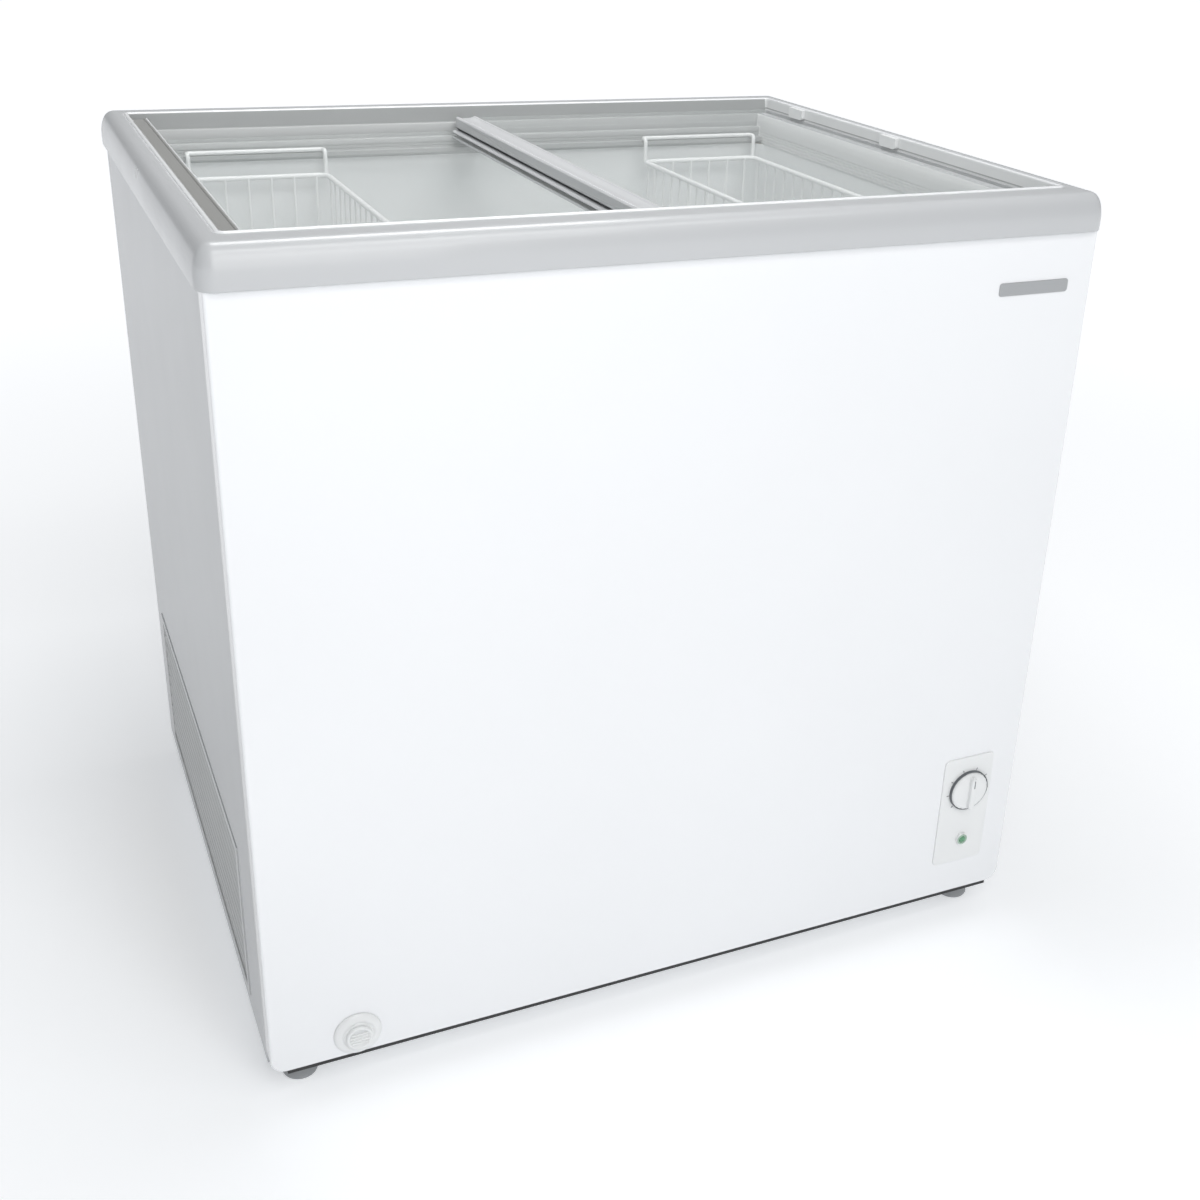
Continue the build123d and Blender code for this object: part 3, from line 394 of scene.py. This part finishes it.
def merge_close(mesh, distance=0.002 * MM):
    """Joins points that lie on each other and turns all faces outward."""
    work = bmesh.new()
    work.from_mesh(mesh)
    bmesh.ops.remove_doubles(work, verts=work.verts, dist=distance)
    bmesh.ops.dissolve_degenerate(work, edges=work.edges, dist=distance)
    bmesh.ops.recalc_face_normals(work, faces=work.faces)
    work.to_mesh(mesh)
    work.free()


def extruded(name, outline, start, length, along="Y"):
    """A prism whose outline is (across, up), pushed along Y or X from a start value."""
    work = bmesh.new()
    near = []
    for across, up in outline:
        place = (across, start, up) if along == "Y" else (start, across, up)
        near.append(work.verts.new(place))
    face = work.faces.new(near)
    pushed = bmesh.ops.extrude_face_region(work, geom=[face])
    shift = Vector((0, length, 0)) if along == "Y" else Vector((length, 0, 0))
    far = [item for item in pushed["geom"] if isinstance(item, bmesh.types.BMVert)]
    bmesh.ops.translate(work, vec=shift, verts=far)
    bmesh.ops.recalc_face_normals(work, faces=work.faces)
    mesh = bpy.data.meshes.new(name)
    work.to_mesh(mesh)
    work.free()
    return mesh


def arc(cx, cz, radius, start, end, steps=6):
    """Points on an arc in a section, angles in degrees."""
    return [(cx + radius * math.cos(math.radians(start + (end - start) * i / steps)),
             cz + radius * math.sin(math.radians(start + (end - start) * i / steps)))
            for i in range(steps + 1)]


def rounded_path(points, radius, steps=6, closed=False):
    """A polyline whose corners are turned into short round bends."""
    points = [Vector(p) for p in points]
    count = len(points)
    result = []
    for i, here in enumerate(points):
        if not closed and i in (0, count - 1):
            result.append(here)
            continue
        before = points[i - 1] - here
        after = points[(i + 1) % count] - here
        half = before.angle(after) / 2
        reach = min(radius / math.tan(half), before.length * 0.49, after.length * 0.49)
        bend = reach * math.tan(half)
        middle = (before.normalized() + after.normalized()).normalized()
        centre = here + middle * (bend / math.sin(half))
        first = here + before.normalized() * reach - centre
        last = here + after.normalized() * reach - centre
        for step in range(steps + 1):
            result.append(centre + first.normalized().slerp(last.normalized(), step / steps) * bend)
    return result


def wire_mesh(name, paths, radius, closed=False, sides=3):
    """Round bent wires: each path becomes one spline with a round section."""
    curve = bpy.data.curves.new(name, "CURVE")
    curve.dimensions = "3D"
    curve.bevel_depth = radius
    curve.bevel_resolution = sides
    curve.use_fill_caps = True
    for path in paths:
        spline = curve.splines.new("POLY")
        spline.points.add(len(path) - 1)
        for point, place in zip(spline.points, path):
            point.co = (*place, 1)
        spline.use_cyclic_u = closed
    return curve


# ---------------------------------------------------------------- top frame
def paint_frame(mesh, count, highlight_from, shade_from, shadow_line_band, lit_end_x):
    """Painted light on one grey moulding: bright inner lip as painted highlight, darker tracks as painted
    shade, and a pale right-hand end as painted light, with a dark painted shadow line in it.
    """
    # Index 1 paints the lip's highlight, 2 the shade in the tracks, 3 the light on the right-hand end; the
    # shadow-line band keeps the shade.
    lip, track, end = 1, 2, 3
    for index, face in enumerate(mesh.polygons):
        band = index // count
        if highlight_from < band < shade_from:
            face.material_index = lip
        elif band >= shade_from:
            face.material_index = end if face.center.x > lit_end_x and band != shadow_line_band else track


def build_top_frame():
    """One ring: straight skirt, tall rounded nose, crowned top, bright inner lip and stepped tracks; the lip
    carries painted highlight, the tracks painted shade and the right-hand end painted light.
    """
    low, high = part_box("top_frame")
    glass_low, glass_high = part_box("right_lid_glass")
    lower_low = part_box("left_lid_glass")[0]
    collar_low, collar_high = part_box("liner_collar")
    wall = 3 * MM
    ease = 0.6 * MM
    lip = {"l": lower_low.x - 2 * MM, "r": glass_high.x + 2 * MM,
           "f": glass_low.y - 0.5 * MM, "b": glass_high.y + 0.5 * MM}
    opening = {"l": collar_low.x + wall, "r": collar_high.x - wall,
               "f": collar_low.y + wall, "b": collar_high.y - wall}
    track = (opening["f"] - lip["f"]) / 2
    upper = glass_low.z - 0.5 * MM
    lower = lower_low.z - 0.5 * MM
    top = high.z
    skirt = top - 38 * MM
    corner = 16.5 * MM
    nose_in, nose_up = 15 * MM, 25 * MM
    nose_steps = 12

    def outer_ring(inset, z):
        return rounded_loop(low.x + inset, high.x - inset, low.y + inset, high.y - inset,
                            corner - min(inset, 15 * MM), z)

    def lip_ring(back, z):
        return rounded_loop(lip["l"] - back, lip["r"] + back, lip["f"] - back, lip["b"] + back,
                            3 * MM + back, z)

    def inner_ring(left, right, front, rear, z):
        return rounded_loop(left, right, front, rear, 2 * MM, z)

    loops = [outer_ring(4.6 * MM, skirt + 6 * MM), outer_ring(4.4 * MM, skirt), outer_ring(1.4 * MM, skirt),
             outer_ring(0.4 * MM, skirt + 0.4 * MM), outer_ring(0, skirt + 1.4 * MM)]
    for step in range(nose_steps + 1):
        turn = math.radians(90 * step / nose_steps)
        inset = nose_in * (1 - math.cos(turn) ** 0.9)
        loops.append(outer_ring(inset, top - 0.8 * MM - nose_up + nose_up * math.sin(turn)))
    loops.append(lip_ring(9 * MM, top - 0.9 * MM))
    highlight_from = len(loops) - 1
    loops += [lip_ring(5.4 * MM, top - 1.2 * MM), lip_ring(4.6 * MM, top - 1.6 * MM),
              lip_ring(4.0 * MM, top - 0.4 * MM), lip_ring(3.2 * MM, top), lip_ring(1.2 * MM, top),
              lip_ring(0.3 * MM, top - 0.5 * MM), lip_ring(0, top - 1.6 * MM)]
    shade_from = len(loops) - 1
    left, right, front, rear = lip["l"], lip["r"], lip["f"], lip["b"]
    pane_top = upper + 5.6 * MM
    loops += [lip_ring(0, top - 3 * MM),
              inner_ring(left, right, front, rear, pane_top + 1.5 * MM),
              inner_ring(left, right, front, rear, pane_top),
              inner_ring(left, right, front, rear, upper)]
    shadow_line_band = len(loops) - 3
    right, front, rear = opening["r"], front + track, rear - track
    loops += [inner_ring(left, right + ease, front - ease, rear + ease, upper),
              inner_ring(left, right, front, rear, upper - ease),
              inner_ring(left, right, front, rear, lower)]
    left, front, rear = opening["l"], opening["f"], opening["b"]
    loops += [inner_ring(left - ease, right, front - ease, rear + ease, lower),
              inner_ring(left, right, front, rear, lower - ease),
              inner_ring(left, right, front, rear, collar_high.z),
              inner_ring(left - 8 * MM, right + 8 * MM, front - 8 * MM, rear + 8 * MM,
                         collar_high.z + 0.3 * MM)]
    mesh, count = skin_loops("frame_moulding", loops, closed=True)
    # The slots after the first paint light and shade: highlight on the lip, shade on the tracks, light on
    # the right-hand end.
    for material in ("frame_plastic", "painted_highlight_plastic", "painted_shade_track_plastic", "painted_light_end_plastic"):
        mesh.materials.append(M[material])
    paint_frame(mesh, count, highlight_from, shade_from, shadow_line_band, opening["r"] - 1 * MM)
    piece = add_piece("frame_moulding", mesh, M["frame_plastic"], "cabinet", ["top_frame"])
    soften(piece, 0.2 * MM, 1, 50)


def build_collar():
    """Ribbed breaker strip round the mouth of the tub, painted paler at the right-hand end as painted light.
    """
    low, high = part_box("liner_collar")
    wall = 3 * MM
    ribs = 4
    pitch = (high.z - low.z) / ribs
    loops = []

    def ring(back, z):
        return rounded_loop(low.x + wall - back, high.x - wall + back,
                            low.y + wall - back, high.y - wall + back, 3 * MM, z)

    loops.append(ring(wall, high.z))
    for rib in range(ribs):
        z = high.z - rib * pitch
        loops += [ring(0.7 * MM, z), ring(0.7 * MM, z - 0.5 * MM), ring(0, z - 0.9 * MM),
                  ring(0, z - pitch + 0.4 * MM)]
    loops += [ring(0.4 * MM, low.z), ring(wall, low.z)]
    mesh = skin_loops("collar_strip", loops, closed=True)[0]
    mesh.materials.append(M["collar_plastic"])
    mesh.materials.append(M["painted_light_end_plastic"])
    # The right-hand faces take the paler copy: painted light on that end.
    for face in mesh.polygons:
        if face.center.x > high.x - wall - 1 * MM:
            face.material_index = 1
    piece = add_piece("collar_strip", mesh, M["collar_plastic"], "cabinet",
                      ["liner_collar"])
    soften(piece, 0.15 * MM, 1, 50)


# ---------------------------------------------------------------- lids
def build_strip(node, body, slot, outline, name, edge=0.4 * MM):
    """An extruded edge strip over the whole length of its node."""
    low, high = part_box(node)
    mesh = extruded(name, outline, low.y, high.y - low.y)
    piece = add_piece(name, mesh, M[slot], body, [node])
    return soften(piece, edge, 2, 35)


def add_highlight_bead(name, body, lines):
    """Thin rounded edges laid along a strip, coloured bright as painted highlight lines."""
    curve = wire_mesh(name, lines, BEAD)
    add_piece(name, curve, M["painted_highlight_plastic"], body)


def build_divider():
    """Inner end of the upper lid: a profile with a finger channel between two bright beads, which paint
    highlight lines.
    """
    low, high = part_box("right_lid_divider")
    glass_low, glass_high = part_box("right_lid_glass")
    wall = 3.5 * MM
    dip_steps, dip_start, dip_depth = 6, 0.9 * MM, 1.3 * MM
    span = high.x - low.x - 2 * wall
    outline = [(low.x, low.z + 1 * MM), (low.x + 1 * MM, low.z), (high.x - 1 * MM, low.z),
               (high.x, low.z + 1 * MM), (high.x, glass_low.z), (glass_low.x, glass_low.z),
               (glass_low.x, glass_high.z), (high.x, glass_high.z), (high.x, high.z - 0.8 * MM),
               (high.x - 0.8 * MM, high.z), (high.x - 3.2 * MM, high.z),
               (high.x - 4.2 * MM, high.z - 0.9 * MM)]
    for step in range(1, dip_steps):
        part = step / dip_steps
        depth = dip_start + dip_depth * math.sin(math.pi * part)
        outline.append((low.x + wall + span * (1 - part), high.z - depth))
    outline += [(low.x + wall, high.z - 0.5 * MM), (low.x + 2 * MM, high.z), (low.x, high.z - 2 * MM)]
    build_strip("right_lid_divider", "right_lid", "profile_plastic", outline, "right_lid_divider_profile")
    lines = [[(x, low.y + BEAD_END, high.z - BEAD), (x, high.y - BEAD_END, high.z - BEAD)]
             for x in (low.x + 2.2 * MM, high.x - 1.6 * MM)]
    add_highlight_bead("right_lid_divider_highlight_beads", "right_lid", lines)


def build_lower_edge():
    """Inner end of the lower lid: a small strip that grips the pane."""
    low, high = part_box("left_lid_edge_strip")
    glass_low, glass_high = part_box("left_lid_glass")
    outline = [(low.x, low.z + 0.6 * MM), (low.x + 0.6 * MM, low.z), (high.x - 1 * MM, low.z),
               (high.x, low.z + 1 * MM), (high.x, high.z - 1.5 * MM), (high.x - 1.5 * MM, high.z),
               (low.x + 2 * MM, high.z), (low.x, high.z - 2 * MM), (low.x, glass_high.z),
               (glass_high.x, glass_high.z), (glass_high.x, glass_low.z), (low.x, glass_low.z)]
    build_strip("left_lid_edge_strip", "left_lid", "profile_plastic", outline, "left_lid_edge_profile")


def build_lower_end():
    """Outer end of the lower lid: a raised strip with a shallow channel, dark grey as painted shade, and a
    bright bead as painted highlight.
    """
    low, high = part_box("left_lid_end_strip")
    glass_low, glass_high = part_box("left_lid_glass")
    top = high.z
    hollow = low.x + 4 * MM
    outline = [(low.x, low.z), (high.x, low.z), (high.x, glass_low.z), (glass_low.x, glass_low.z),
               (glass_low.x, glass_high.z), (high.x, glass_high.z), (high.x, top - 1.2 * MM),
               (high.x - 1.2 * MM, top - 0.6 * MM), (high.x - 3 * MM, top - 0.6 * MM),
               (high.x - 4 * MM, top - 1.6 * MM), (hollow, top - 1.6 * MM), (hollow - 1.2 * MM, top),
               (low.x + 0.8 * MM, top), (low.x, top - 0.8 * MM)]
    # The dark_strip colour paints shade on this strip; the bead paints a highlight.
    build_strip("left_lid_end_strip", "left_lid", "dark_strip", outline, "left_lid_end_profile", 0.3 * MM)
    x = high.x - BEAD
    add_highlight_bead("left_lid_end_highlight_bead", "left_lid",
             [[(x, low.y + BEAD_END, top - BEAD), (x, high.y - BEAD_END, top - BEAD)]])


def build_upper_end():
    """Outer end of the upper lid: a thin strip under and beside the pane."""
    low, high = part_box("right_lid_end_strip")
    glass_low, glass_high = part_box("right_lid_glass")
    lap = 0.4 * MM
    shoulder = 0.6 * MM
    outline = [(low.x, low.z), (high.x, low.z), (high.x, high.z), (high.x - shoulder, high.z),
               (high.x - shoulder, glass_high.z - lap), (glass_high.x, glass_high.z - lap),
               (glass_high.x, glass_low.z), (low.x, glass_low.z)]
    build_strip("right_lid_end_strip", "right_lid", "profile_plastic", outline, "right_lid_end_profile",
                0.1 * MM)


def build_lid_strips():
    build_divider()
    build_lower_edge()
    build_lower_end()
    build_upper_end()


# ---------------------------------------------------------------- baskets
def add_wires(body, part, paths, radius, replaced=(), closed=False, sides=3):
    """One set of coated wires of a basket."""
    name = f"{body}_{part}"
    curve = wire_mesh(name, paths, radius, closed=closed, sides=sides)
    add_piece(name, curve, M["coated_wire"], body, replaced)


def spread(first, last, margin, count):
    """Evenly spaced values between two ends, with a margin at each end."""
    return [first + margin + (last - first - 2 * margin) * i / (count - 1) for i in range(count)]


def build_basket(side):
    """Round coated wires: U bends across, long loops, level rings, a thick rim and two hangers."""
    body = f"{side}_basket"
    rim_low, rim_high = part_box(f"{body}_rim")
    mesh_low, mesh_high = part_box(f"{body}_mesh")
    hang_low, hang_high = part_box(f"{body}_hangers")
    thin, thick, bar = 1.4 * MM, 3.0 * MM, 2.5 * MM
    rows, columns = 23, 6
    margin = 14 * MM
    bend, corner, hanger_bend = 11 * MM, 12 * MM, 4 * MM
    hanger_reach = 10.5 * MM
    x0, x1 = mesh_low.x + thin, mesh_high.x - thin
    y0, y1 = mesh_low.y + thin, mesh_high.y - thin
    bottom = mesh_low.z + thin
    top = rim_high.z - thick
    lift = 2 * thin * 0.92

    across = []
    for y in spread(y0, y1, margin, rows):
        across.append(rounded_path([(x0, y, top), (x0, y, bottom), (x1, y, bottom), (x1, y, top)], bend))
    add_wires(body, "cross_wires", across, thin, [f"{body}_mesh"])

    along = []
    for x in spread(x0, x1, margin, columns):
        along.append(rounded_path([(x, y0 + lift, top), (x, y0 + lift, bottom + lift),
                                   (x, y1 - lift, bottom + lift), (x, y1 - lift, top)], bend))
    add_wires(body, "long_wires", along, thin)

    rings = []
    for part in (0.33, 0.66):
        z = bottom + (top - bottom) * part
        ring = [(x0 + lift, y0 + lift, z), (x1 - lift, y0 + lift, z),
                (x1 - lift, y1 - lift, z), (x0 + lift, y1 - lift, z)]
        rings.append(rounded_path(ring, corner, closed=True))
    add_wires(body, "ring_wires", rings, thin, closed=True)

    edge = [(rim_low.x + thick, rim_low.y + thick, top), (rim_high.x - thick, rim_low.y + thick, top),
            (rim_high.x - thick, rim_high.y - thick, top), (rim_low.x + thick, rim_high.y - thick, top)]
    rim_path = rounded_path(edge, corner, closed=True)
    add_wires(body, "rim_wire", [rim_path], thick, [f"{body}_rim"], closed=True, sides=5)

    hangers = []
    z = hang_high.z - bar
    left, right = hang_low.x + bar, hang_high.x - bar
    for end, out in ((hang_low.y + bar, 1), (hang_high.y - bar, -1)):
        leg = end + out * hanger_reach
        path = [(left, leg, top), (left, leg, z), (left, end, z),
                (right, end, z), (right, leg, z), (right, leg, top)]
        hangers.append(rounded_path(path, hanger_bend))
    add_wires(body, "hanger_wires", hangers, bar, [f"{body}_hangers"], sides=5)


# ---------------------------------------------------------------- cabinet details
def build_louvres(side):
    """Grille border with long curved blades."""
    node = f"{side}_louvre_grille"
    low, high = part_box(node)
    outward = -1 if side == "left" else 1
    face = low.x if outward < 0 else high.x
    depth = high.x - low.x
    border = 9 * MM
    pitch, thick = 14.5 * MM, 1.3 * MM
    blade_low, blade_rise, blade_steps = -4.5 * MM, 9.5 * MM, 6
    work = bmesh.new()

    def bar(y0, y1, z0, z1):
        made = bmesh.ops.create_cube(work, size=1)
        for vert in made["verts"]:
            x = (low.x + high.x) / 2 + vert.co.x * depth
            y = (y0 + y1) / 2 + vert.co.y * (y1 - y0)
            z = (z0 + z1) / 2 + vert.co.z * (z1 - z0)
            vert.co = Vector((x, y, z))

    bar(low.y, high.y, low.z, low.z + border)
    bar(low.y, high.y, high.z - border, high.z)
    bar(low.y, low.y + border, low.z + border, high.z - border)
    bar(high.y - border, high.y, low.z + border, high.z - border)
    count = int((high.z - low.z - 2 * border) / pitch) + 1
    first = (low.z + high.z) / 2 - (count - 1) * pitch / 2
    for number in range(count):
        mid = first + number * pitch
        blade = []
        for step in range(blade_steps + 1):
            part = step / blade_steps
            inward = part * depth * 0.96
            rise = blade_low + blade_rise * part ** 1.4
            blade.append((face - outward * inward, mid + rise))
        under = [(x, z - thick) for x, z in reversed(blade)]
        near = [work.verts.new((x, low.y + border, z)) for x, z in blade + under]
        far = [work.verts.new((x, high.y - border, z)) for x, z in blade + under]
        total = len(near)
        work.faces.new(near)
        work.faces.new(list(reversed(far)))
        for i in range(total):
            j = (i + 1) % total
            work.faces.new((near[j], near[i], far[i], far[j]))
    bmesh.ops.recalc_face_normals(work, faces=work.faces)
    mesh = bpy.data.meshes.new(f"{side}_louvres")
    work.to_mesh(mesh)
    work.free()
    piece = add_piece(f"{side}_louvres", mesh, M["louvre_plastic"], "cabinet", [node])
    soften(piece, 0.4 * MM, 2, 50)


def build_feet():
    """Flared round feet with a ribbed collar."""
    low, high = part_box("feet")
    radius = 18 * MM
    profile = [(0, 0), (15, 0), (17.2, 0.6), (18, 2.4), (17.7, 4.6), (16.6, 7), (15, 10.5),
               (13.2, 15), (12.2, 19), (12.0, 22), (13, 22.6), (13, 24.4), (12, 25),
               (11.6, 30), (11.4, 36.5), (0, 36.5)]
    scaled = [(r * MM, along * MM) for r, along in profile]
    number = 0
    for x in (low.x + radius, high.x - radius):
        for y in (low.y + radius, high.y - radius):
            number += 1
            mesh = turned(f"foot_{number}", scaled, (x, y, low.z), (0, 0, 1))
            add_piece(f"foot_{number}", mesh, M["foot_plastic"], "cabinet", ["feet"])


def build_drain_outlet(centre):
    """Domed outlet flange with a stepped rim."""
    profile = [(10, -16), (12, -16), (12, -0.1), (24, -0.1), (24, 1.2), (23.4, 2.2), (21.6, 3.6),
               (18.6, 4.8), (16.2, 5.2), (15.6, 4.4), (15.0, 4.4), (14.6, 5.6), (13.9, 6.0),
               (10.4, 6.0), (10, 5.6), (10, -16)]
    mesh = turned("drain_outlet", [(r * MM, a * MM) for r, a in profile], centre, (0, -1, 0), 64)
    add_piece("drain_outlet", mesh, M["white_plastic"], "cabinet", ["drain_flange"])


def build_drain_cap(centre, face, stem):
    """Turned pull-out cap with a sunk face."""
    profile = [(0, stem - face), (8.8 * MM, stem - face),
               (9.6 * MM, stem - face - 1 * MM), (9.6 * MM, 4.2 * MM),
               (13.2 * MM, 4.2 * MM), (13.5 * MM, 3.8 * MM), (13.5 * MM, 1.8 * MM), (12.9 * MM, 0.7 * MM),
               (11.8 * MM, 0.25 * MM), (10.6 * MM, 0.5 * MM), (10.2 * MM, 1.4 * MM), (0, 1.4 * MM)]
    mesh = turned("drain_cap_body", profile, (centre[0], face, centre[2]), (0, 1, 0), 48)
    add_piece("drain_cap_body", mesh, M["white_plastic"], "drain_cap", ["drain_cap"])


def build_drain_cap_ribs(centre, face):
    """Finger ribs across the cap's sunk face."""
    recess, clear = 10.2, 0.6 * MM
    depth, width, set_back = 1.4 * MM, 1.5 * MM, 0.95 * MM
    work = bmesh.new()
    for offset in (-5.2, -1.75, 1.75, 5.2):
        half = math.sqrt(recess ** 2 - offset ** 2) * MM - clear
        made = bmesh.ops.create_cube(work, size=1)
        for vert in made["verts"]:
            x = centre[0] + vert.co.x * 2 * half
            y = face + set_back + vert.co.y * depth
            z = centre[2] + offset * MM + vert.co.z * width
            vert.co = Vector((x, y, z))
    mesh = bpy.data.meshes.new("drain_cap_ribs")
    work.to_mesh(mesh)
    work.free()
    ribs = add_piece("drain_cap_ribs", mesh, M["white_plastic"], "drain_cap")
    soften(ribs, 0.4 * MM)


def build_drain():
    """The front outlet and its cap, on one axis."""
    low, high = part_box("drain_flange")
    cap_low, cap_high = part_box("drain_cap")
    centre = ((low.x + high.x) / 2, low.y + 6 * MM, (low.z + high.z) / 2)
    build_drain_outlet(centre)
    build_drain_cap(centre, cap_low.y, cap_high.y)
    build_drain_cap_ribs(centre, cap_low.y)


def build_front_shadow_strip():
    """Dark strip under the front panel's lower edge: painted shade for the dark line there."""
    low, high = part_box("front_panel")
    corner = 16 * MM
    drop = 4 * MM
    outline = [(low.x + corner, low.z - drop), (high.x - corner, low.z - drop),
               (high.x - corner, low.z), (low.x + corner, low.z)]
    mesh = extruded("front_shadow_strip", outline, low.y + 1.2 * MM, 12 * MM)
    # Black rubber here paints the shade under the panel's lower edge.
    piece = add_piece("front_shadow_strip", mesh, M["rubber"], "cabinet")
    soften(piece, 0.5 * MM)


def build_knob_body(centre_x, centre_z, back, shaft):
    """Domed knob with a fluted rim, on its shaft; ring sizes are in millimetres."""
    steps, flutes = 120, 24
    rings = [(3.0, shaft, 0), (3.0, 0, 0), (23.0, 0, 0), (23.7, -0.5, 0.25), (23.7, -3.2, 0.25),
             (22.6, -4.6, 0.15), (20.4, -5.7, 0), (15.5, -6.9, 0), (9, -7.6, 0), (0.01, -7.8, 0)]
    points, faces = [], []
    for radius, along, flute in rings:
        depth = along * MM
        for step in range(steps):
            turn = math.tau * step / steps
            size = (radius + flute * math.cos(flutes * turn)) * MM
            points.append((centre_x + size * math.cos(turn), back + depth, centre_z + size * math.sin(turn)))
    for band in range(len(rings) - 1):
        a, b = band * steps, (band + 1) * steps
        for i in range(steps):
            j = (i + 1) % steps
            faces.append((a + i, a + j, b + j, b + i))
    faces.append(tuple(range(steps)))
    mesh = mesh_from("knob_body", points, faces)
    merge_close(mesh, 0.03 * MM)
    add_piece("knob_body", mesh, M["white_plastic"], "knob", ["thermostat_knob"])


def build_knob_grip(centre_x, centre_z, front, back):
    """Raised fin across the knob, with round ends."""
    half_length, end_radius, offset = 16.5 * MM, 4 * MM, 0.2 * MM
    outline = arc(centre_x - offset, centre_z + half_length, end_radius, 0, 180, 10)
    outline += arc(centre_x - offset, centre_z - half_length, end_radius, 180, 360, 10)
    mesh = extruded("knob_grip", outline, front, back - 5 * MM - front)
    soften(add_piece("knob_grip", mesh, M["white_plastic"], "knob"), 1.6 * MM, 4)


def build_knob_pointer(centre_x, centre_z, front):
    """Dark line on the fin."""
    outline = [(centre_x - 0.8 * MM, centre_z + 8 * MM), (centre_x + 0.4 * MM, centre_z + 8 * MM),
               (centre_x + 0.4 * MM, centre_z + 18 * MM), (centre_x - 0.8 * MM, centre_z + 18 * MM)]
    mesh = extruded("knob_pointer", outline, front - 0.05 * MM, 0.6 * MM)
    add_piece("knob_pointer", mesh, M["dial_print_and_shade"], "knob")


def build_knob():
    """The thermostat knob in front of its plate."""
    low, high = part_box("thermostat_knob")
    centre_x, centre_z = (low.x + high.x) / 2, (low.z + high.z) / 2
    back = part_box("control_plate")[0].y - 0.4 * MM
    front = low.y + 0.05 * MM
    build_knob_body(centre_x, centre_z, back, (high.y - back) / MM)
    build_knob_grip(centre_x, centre_z, front, back)
    build_knob_pointer(centre_x, centre_z, front)


def build_dial():
    """Dark raised ring round the knob, as painted shade for the dark outline at its edge, with printed tick
    marks outside it.
    """
    low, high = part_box("thermostat_knob")
    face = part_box("control_plate")[0].y
    centre_x, centre_z = (low.x + high.x) / 2, (low.z + high.z) / 2
    print_lift, shade_ring_lift = 0.12 * MM, 3.4 * MM
    work = bmesh.new()

    def patch(corners, lift):
        front = [work.verts.new((x, face - lift, z)) for x, z in corners]
        rear = [work.verts.new((x, face, z)) for x, z in corners]
        work.faces.new(front)
        total = len(corners)
        for i in range(total):
            j = (i + 1) % total
            work.faces.new((front[i], front[j], rear[j], rear[i]))

    ticks, first_tick, sweep = 8, 225, 270
    for tick in range(ticks):
        turn = math.radians(first_tick - sweep * tick / (ticks - 1))
        out = Vector((math.cos(turn), math.sin(turn)))
        side = Vector((-out.y, out.x)) * 0.45 * MM
        near, far = out * 25.6 * MM, out * 28.6 * MM
        corners = (near - side, far - side, far + side, near + side)
        patch([(centre_x + p.x, centre_z + p.y) for p in corners], print_lift)
    # The ring paints the shade at the knob's edge; the ticks are print.
    segments = 64
    inner, outer = 24.2 * MM, 25.0 * MM
    for i in range(segments):
        a, b = math.tau * i / segments, math.tau * (i + 1) / segments
        patch([(centre_x + r * math.cos(t), centre_z + r * math.sin(t))
               for r, t in ((inner, a), (outer, a), (outer, b), (inner, b))], shade_ring_lift)
    bmesh.ops.remove_doubles(work, verts=work.verts, dist=0.01 * MM)
    bmesh.ops.recalc_face_normals(work, faces=work.faces)
    mesh = bpy.data.meshes.new("dial_ticks_and_shade_ring")
    work.to_mesh(mesh)
    work.free()
    add_piece("dial_ticks_and_shade_ring", mesh, M["dial_print_and_shade"], "cabinet")


def build_lamp_halo():
    """Pale green washer on the lamp's bezel, round the lens."""
    lens_low, lens_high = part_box("lamp_lens")
    bezel_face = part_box("lamp_bezel")[0].y
    centre = ((lens_low.x + lens_high.x) / 2, bezel_face, (lens_low.z + lens_high.z) / 2)
    inner, outer, thick = 4.3 * MM, 6.6 * MM, 0.5 * MM
    profile = [(inner, 0), (outer, 0), (outer - 0.3 * MM, thick), (inner, thick), (inner, 0)]
    mesh = turned("lamp_halo", profile, centre, (0, -1, 0))
    add_piece("lamp_halo", mesh, M["lamp_halo"], "cabinet")


def build_compressor_seam():
    """Welded seam band round the compressor shell."""
    low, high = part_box("compressor_shell")
    centre = (low + high) / 2
    rx, ry = (high.x - low.x) / 2, (high.y - low.y) / 2
    steps = 96
    loops = []
    for grow, dz in ((-2, -3), (0.8, -3), (2.4, -1.6), (2.4, 1.6), (0.8, 3), (-2, 3)):
        loops.append([(centre.x + (rx + grow * MM) * math.cos(math.tau * i / steps),
                       centre.y + (ry + grow * MM) * math.sin(math.tau * i / steps),
                       centre.z + dz * MM) for i in range(steps)])
    mesh = skin_loops("compressor_seam", loops, closed=True)[0]
    add_piece("compressor_seam", mesh, M["black_enamel"], "cabinet")


def build_floor():
    """Flat studio floor, wide enough to fill the view."""
    half_width = 30
    work = bmesh.new()
    bmesh.ops.create_grid(work, x_segments=1, y_segments=1, size=half_width)
    mesh = bpy.data.meshes.new("floor")
    work.to_mesh(mesh)
    work.free()
    mesh.materials.append(M["floor"])
    floor = bpy.data.objects.new("floor", mesh)
    bpy.context.scene.collection.objects.link(floor)


place_camera()
light_scene()
build_floor()
dress_cad_nodes()
build_top_frame()
build_collar()
build_lid_strips()
for hand in ("left", "right"):
    build_basket(hand)
    build_louvres(hand)
build_feet()
build_drain()
build_front_shadow_strip()
build_knob()
build_dial()
build_lamp_halo()
build_compressor_seam()
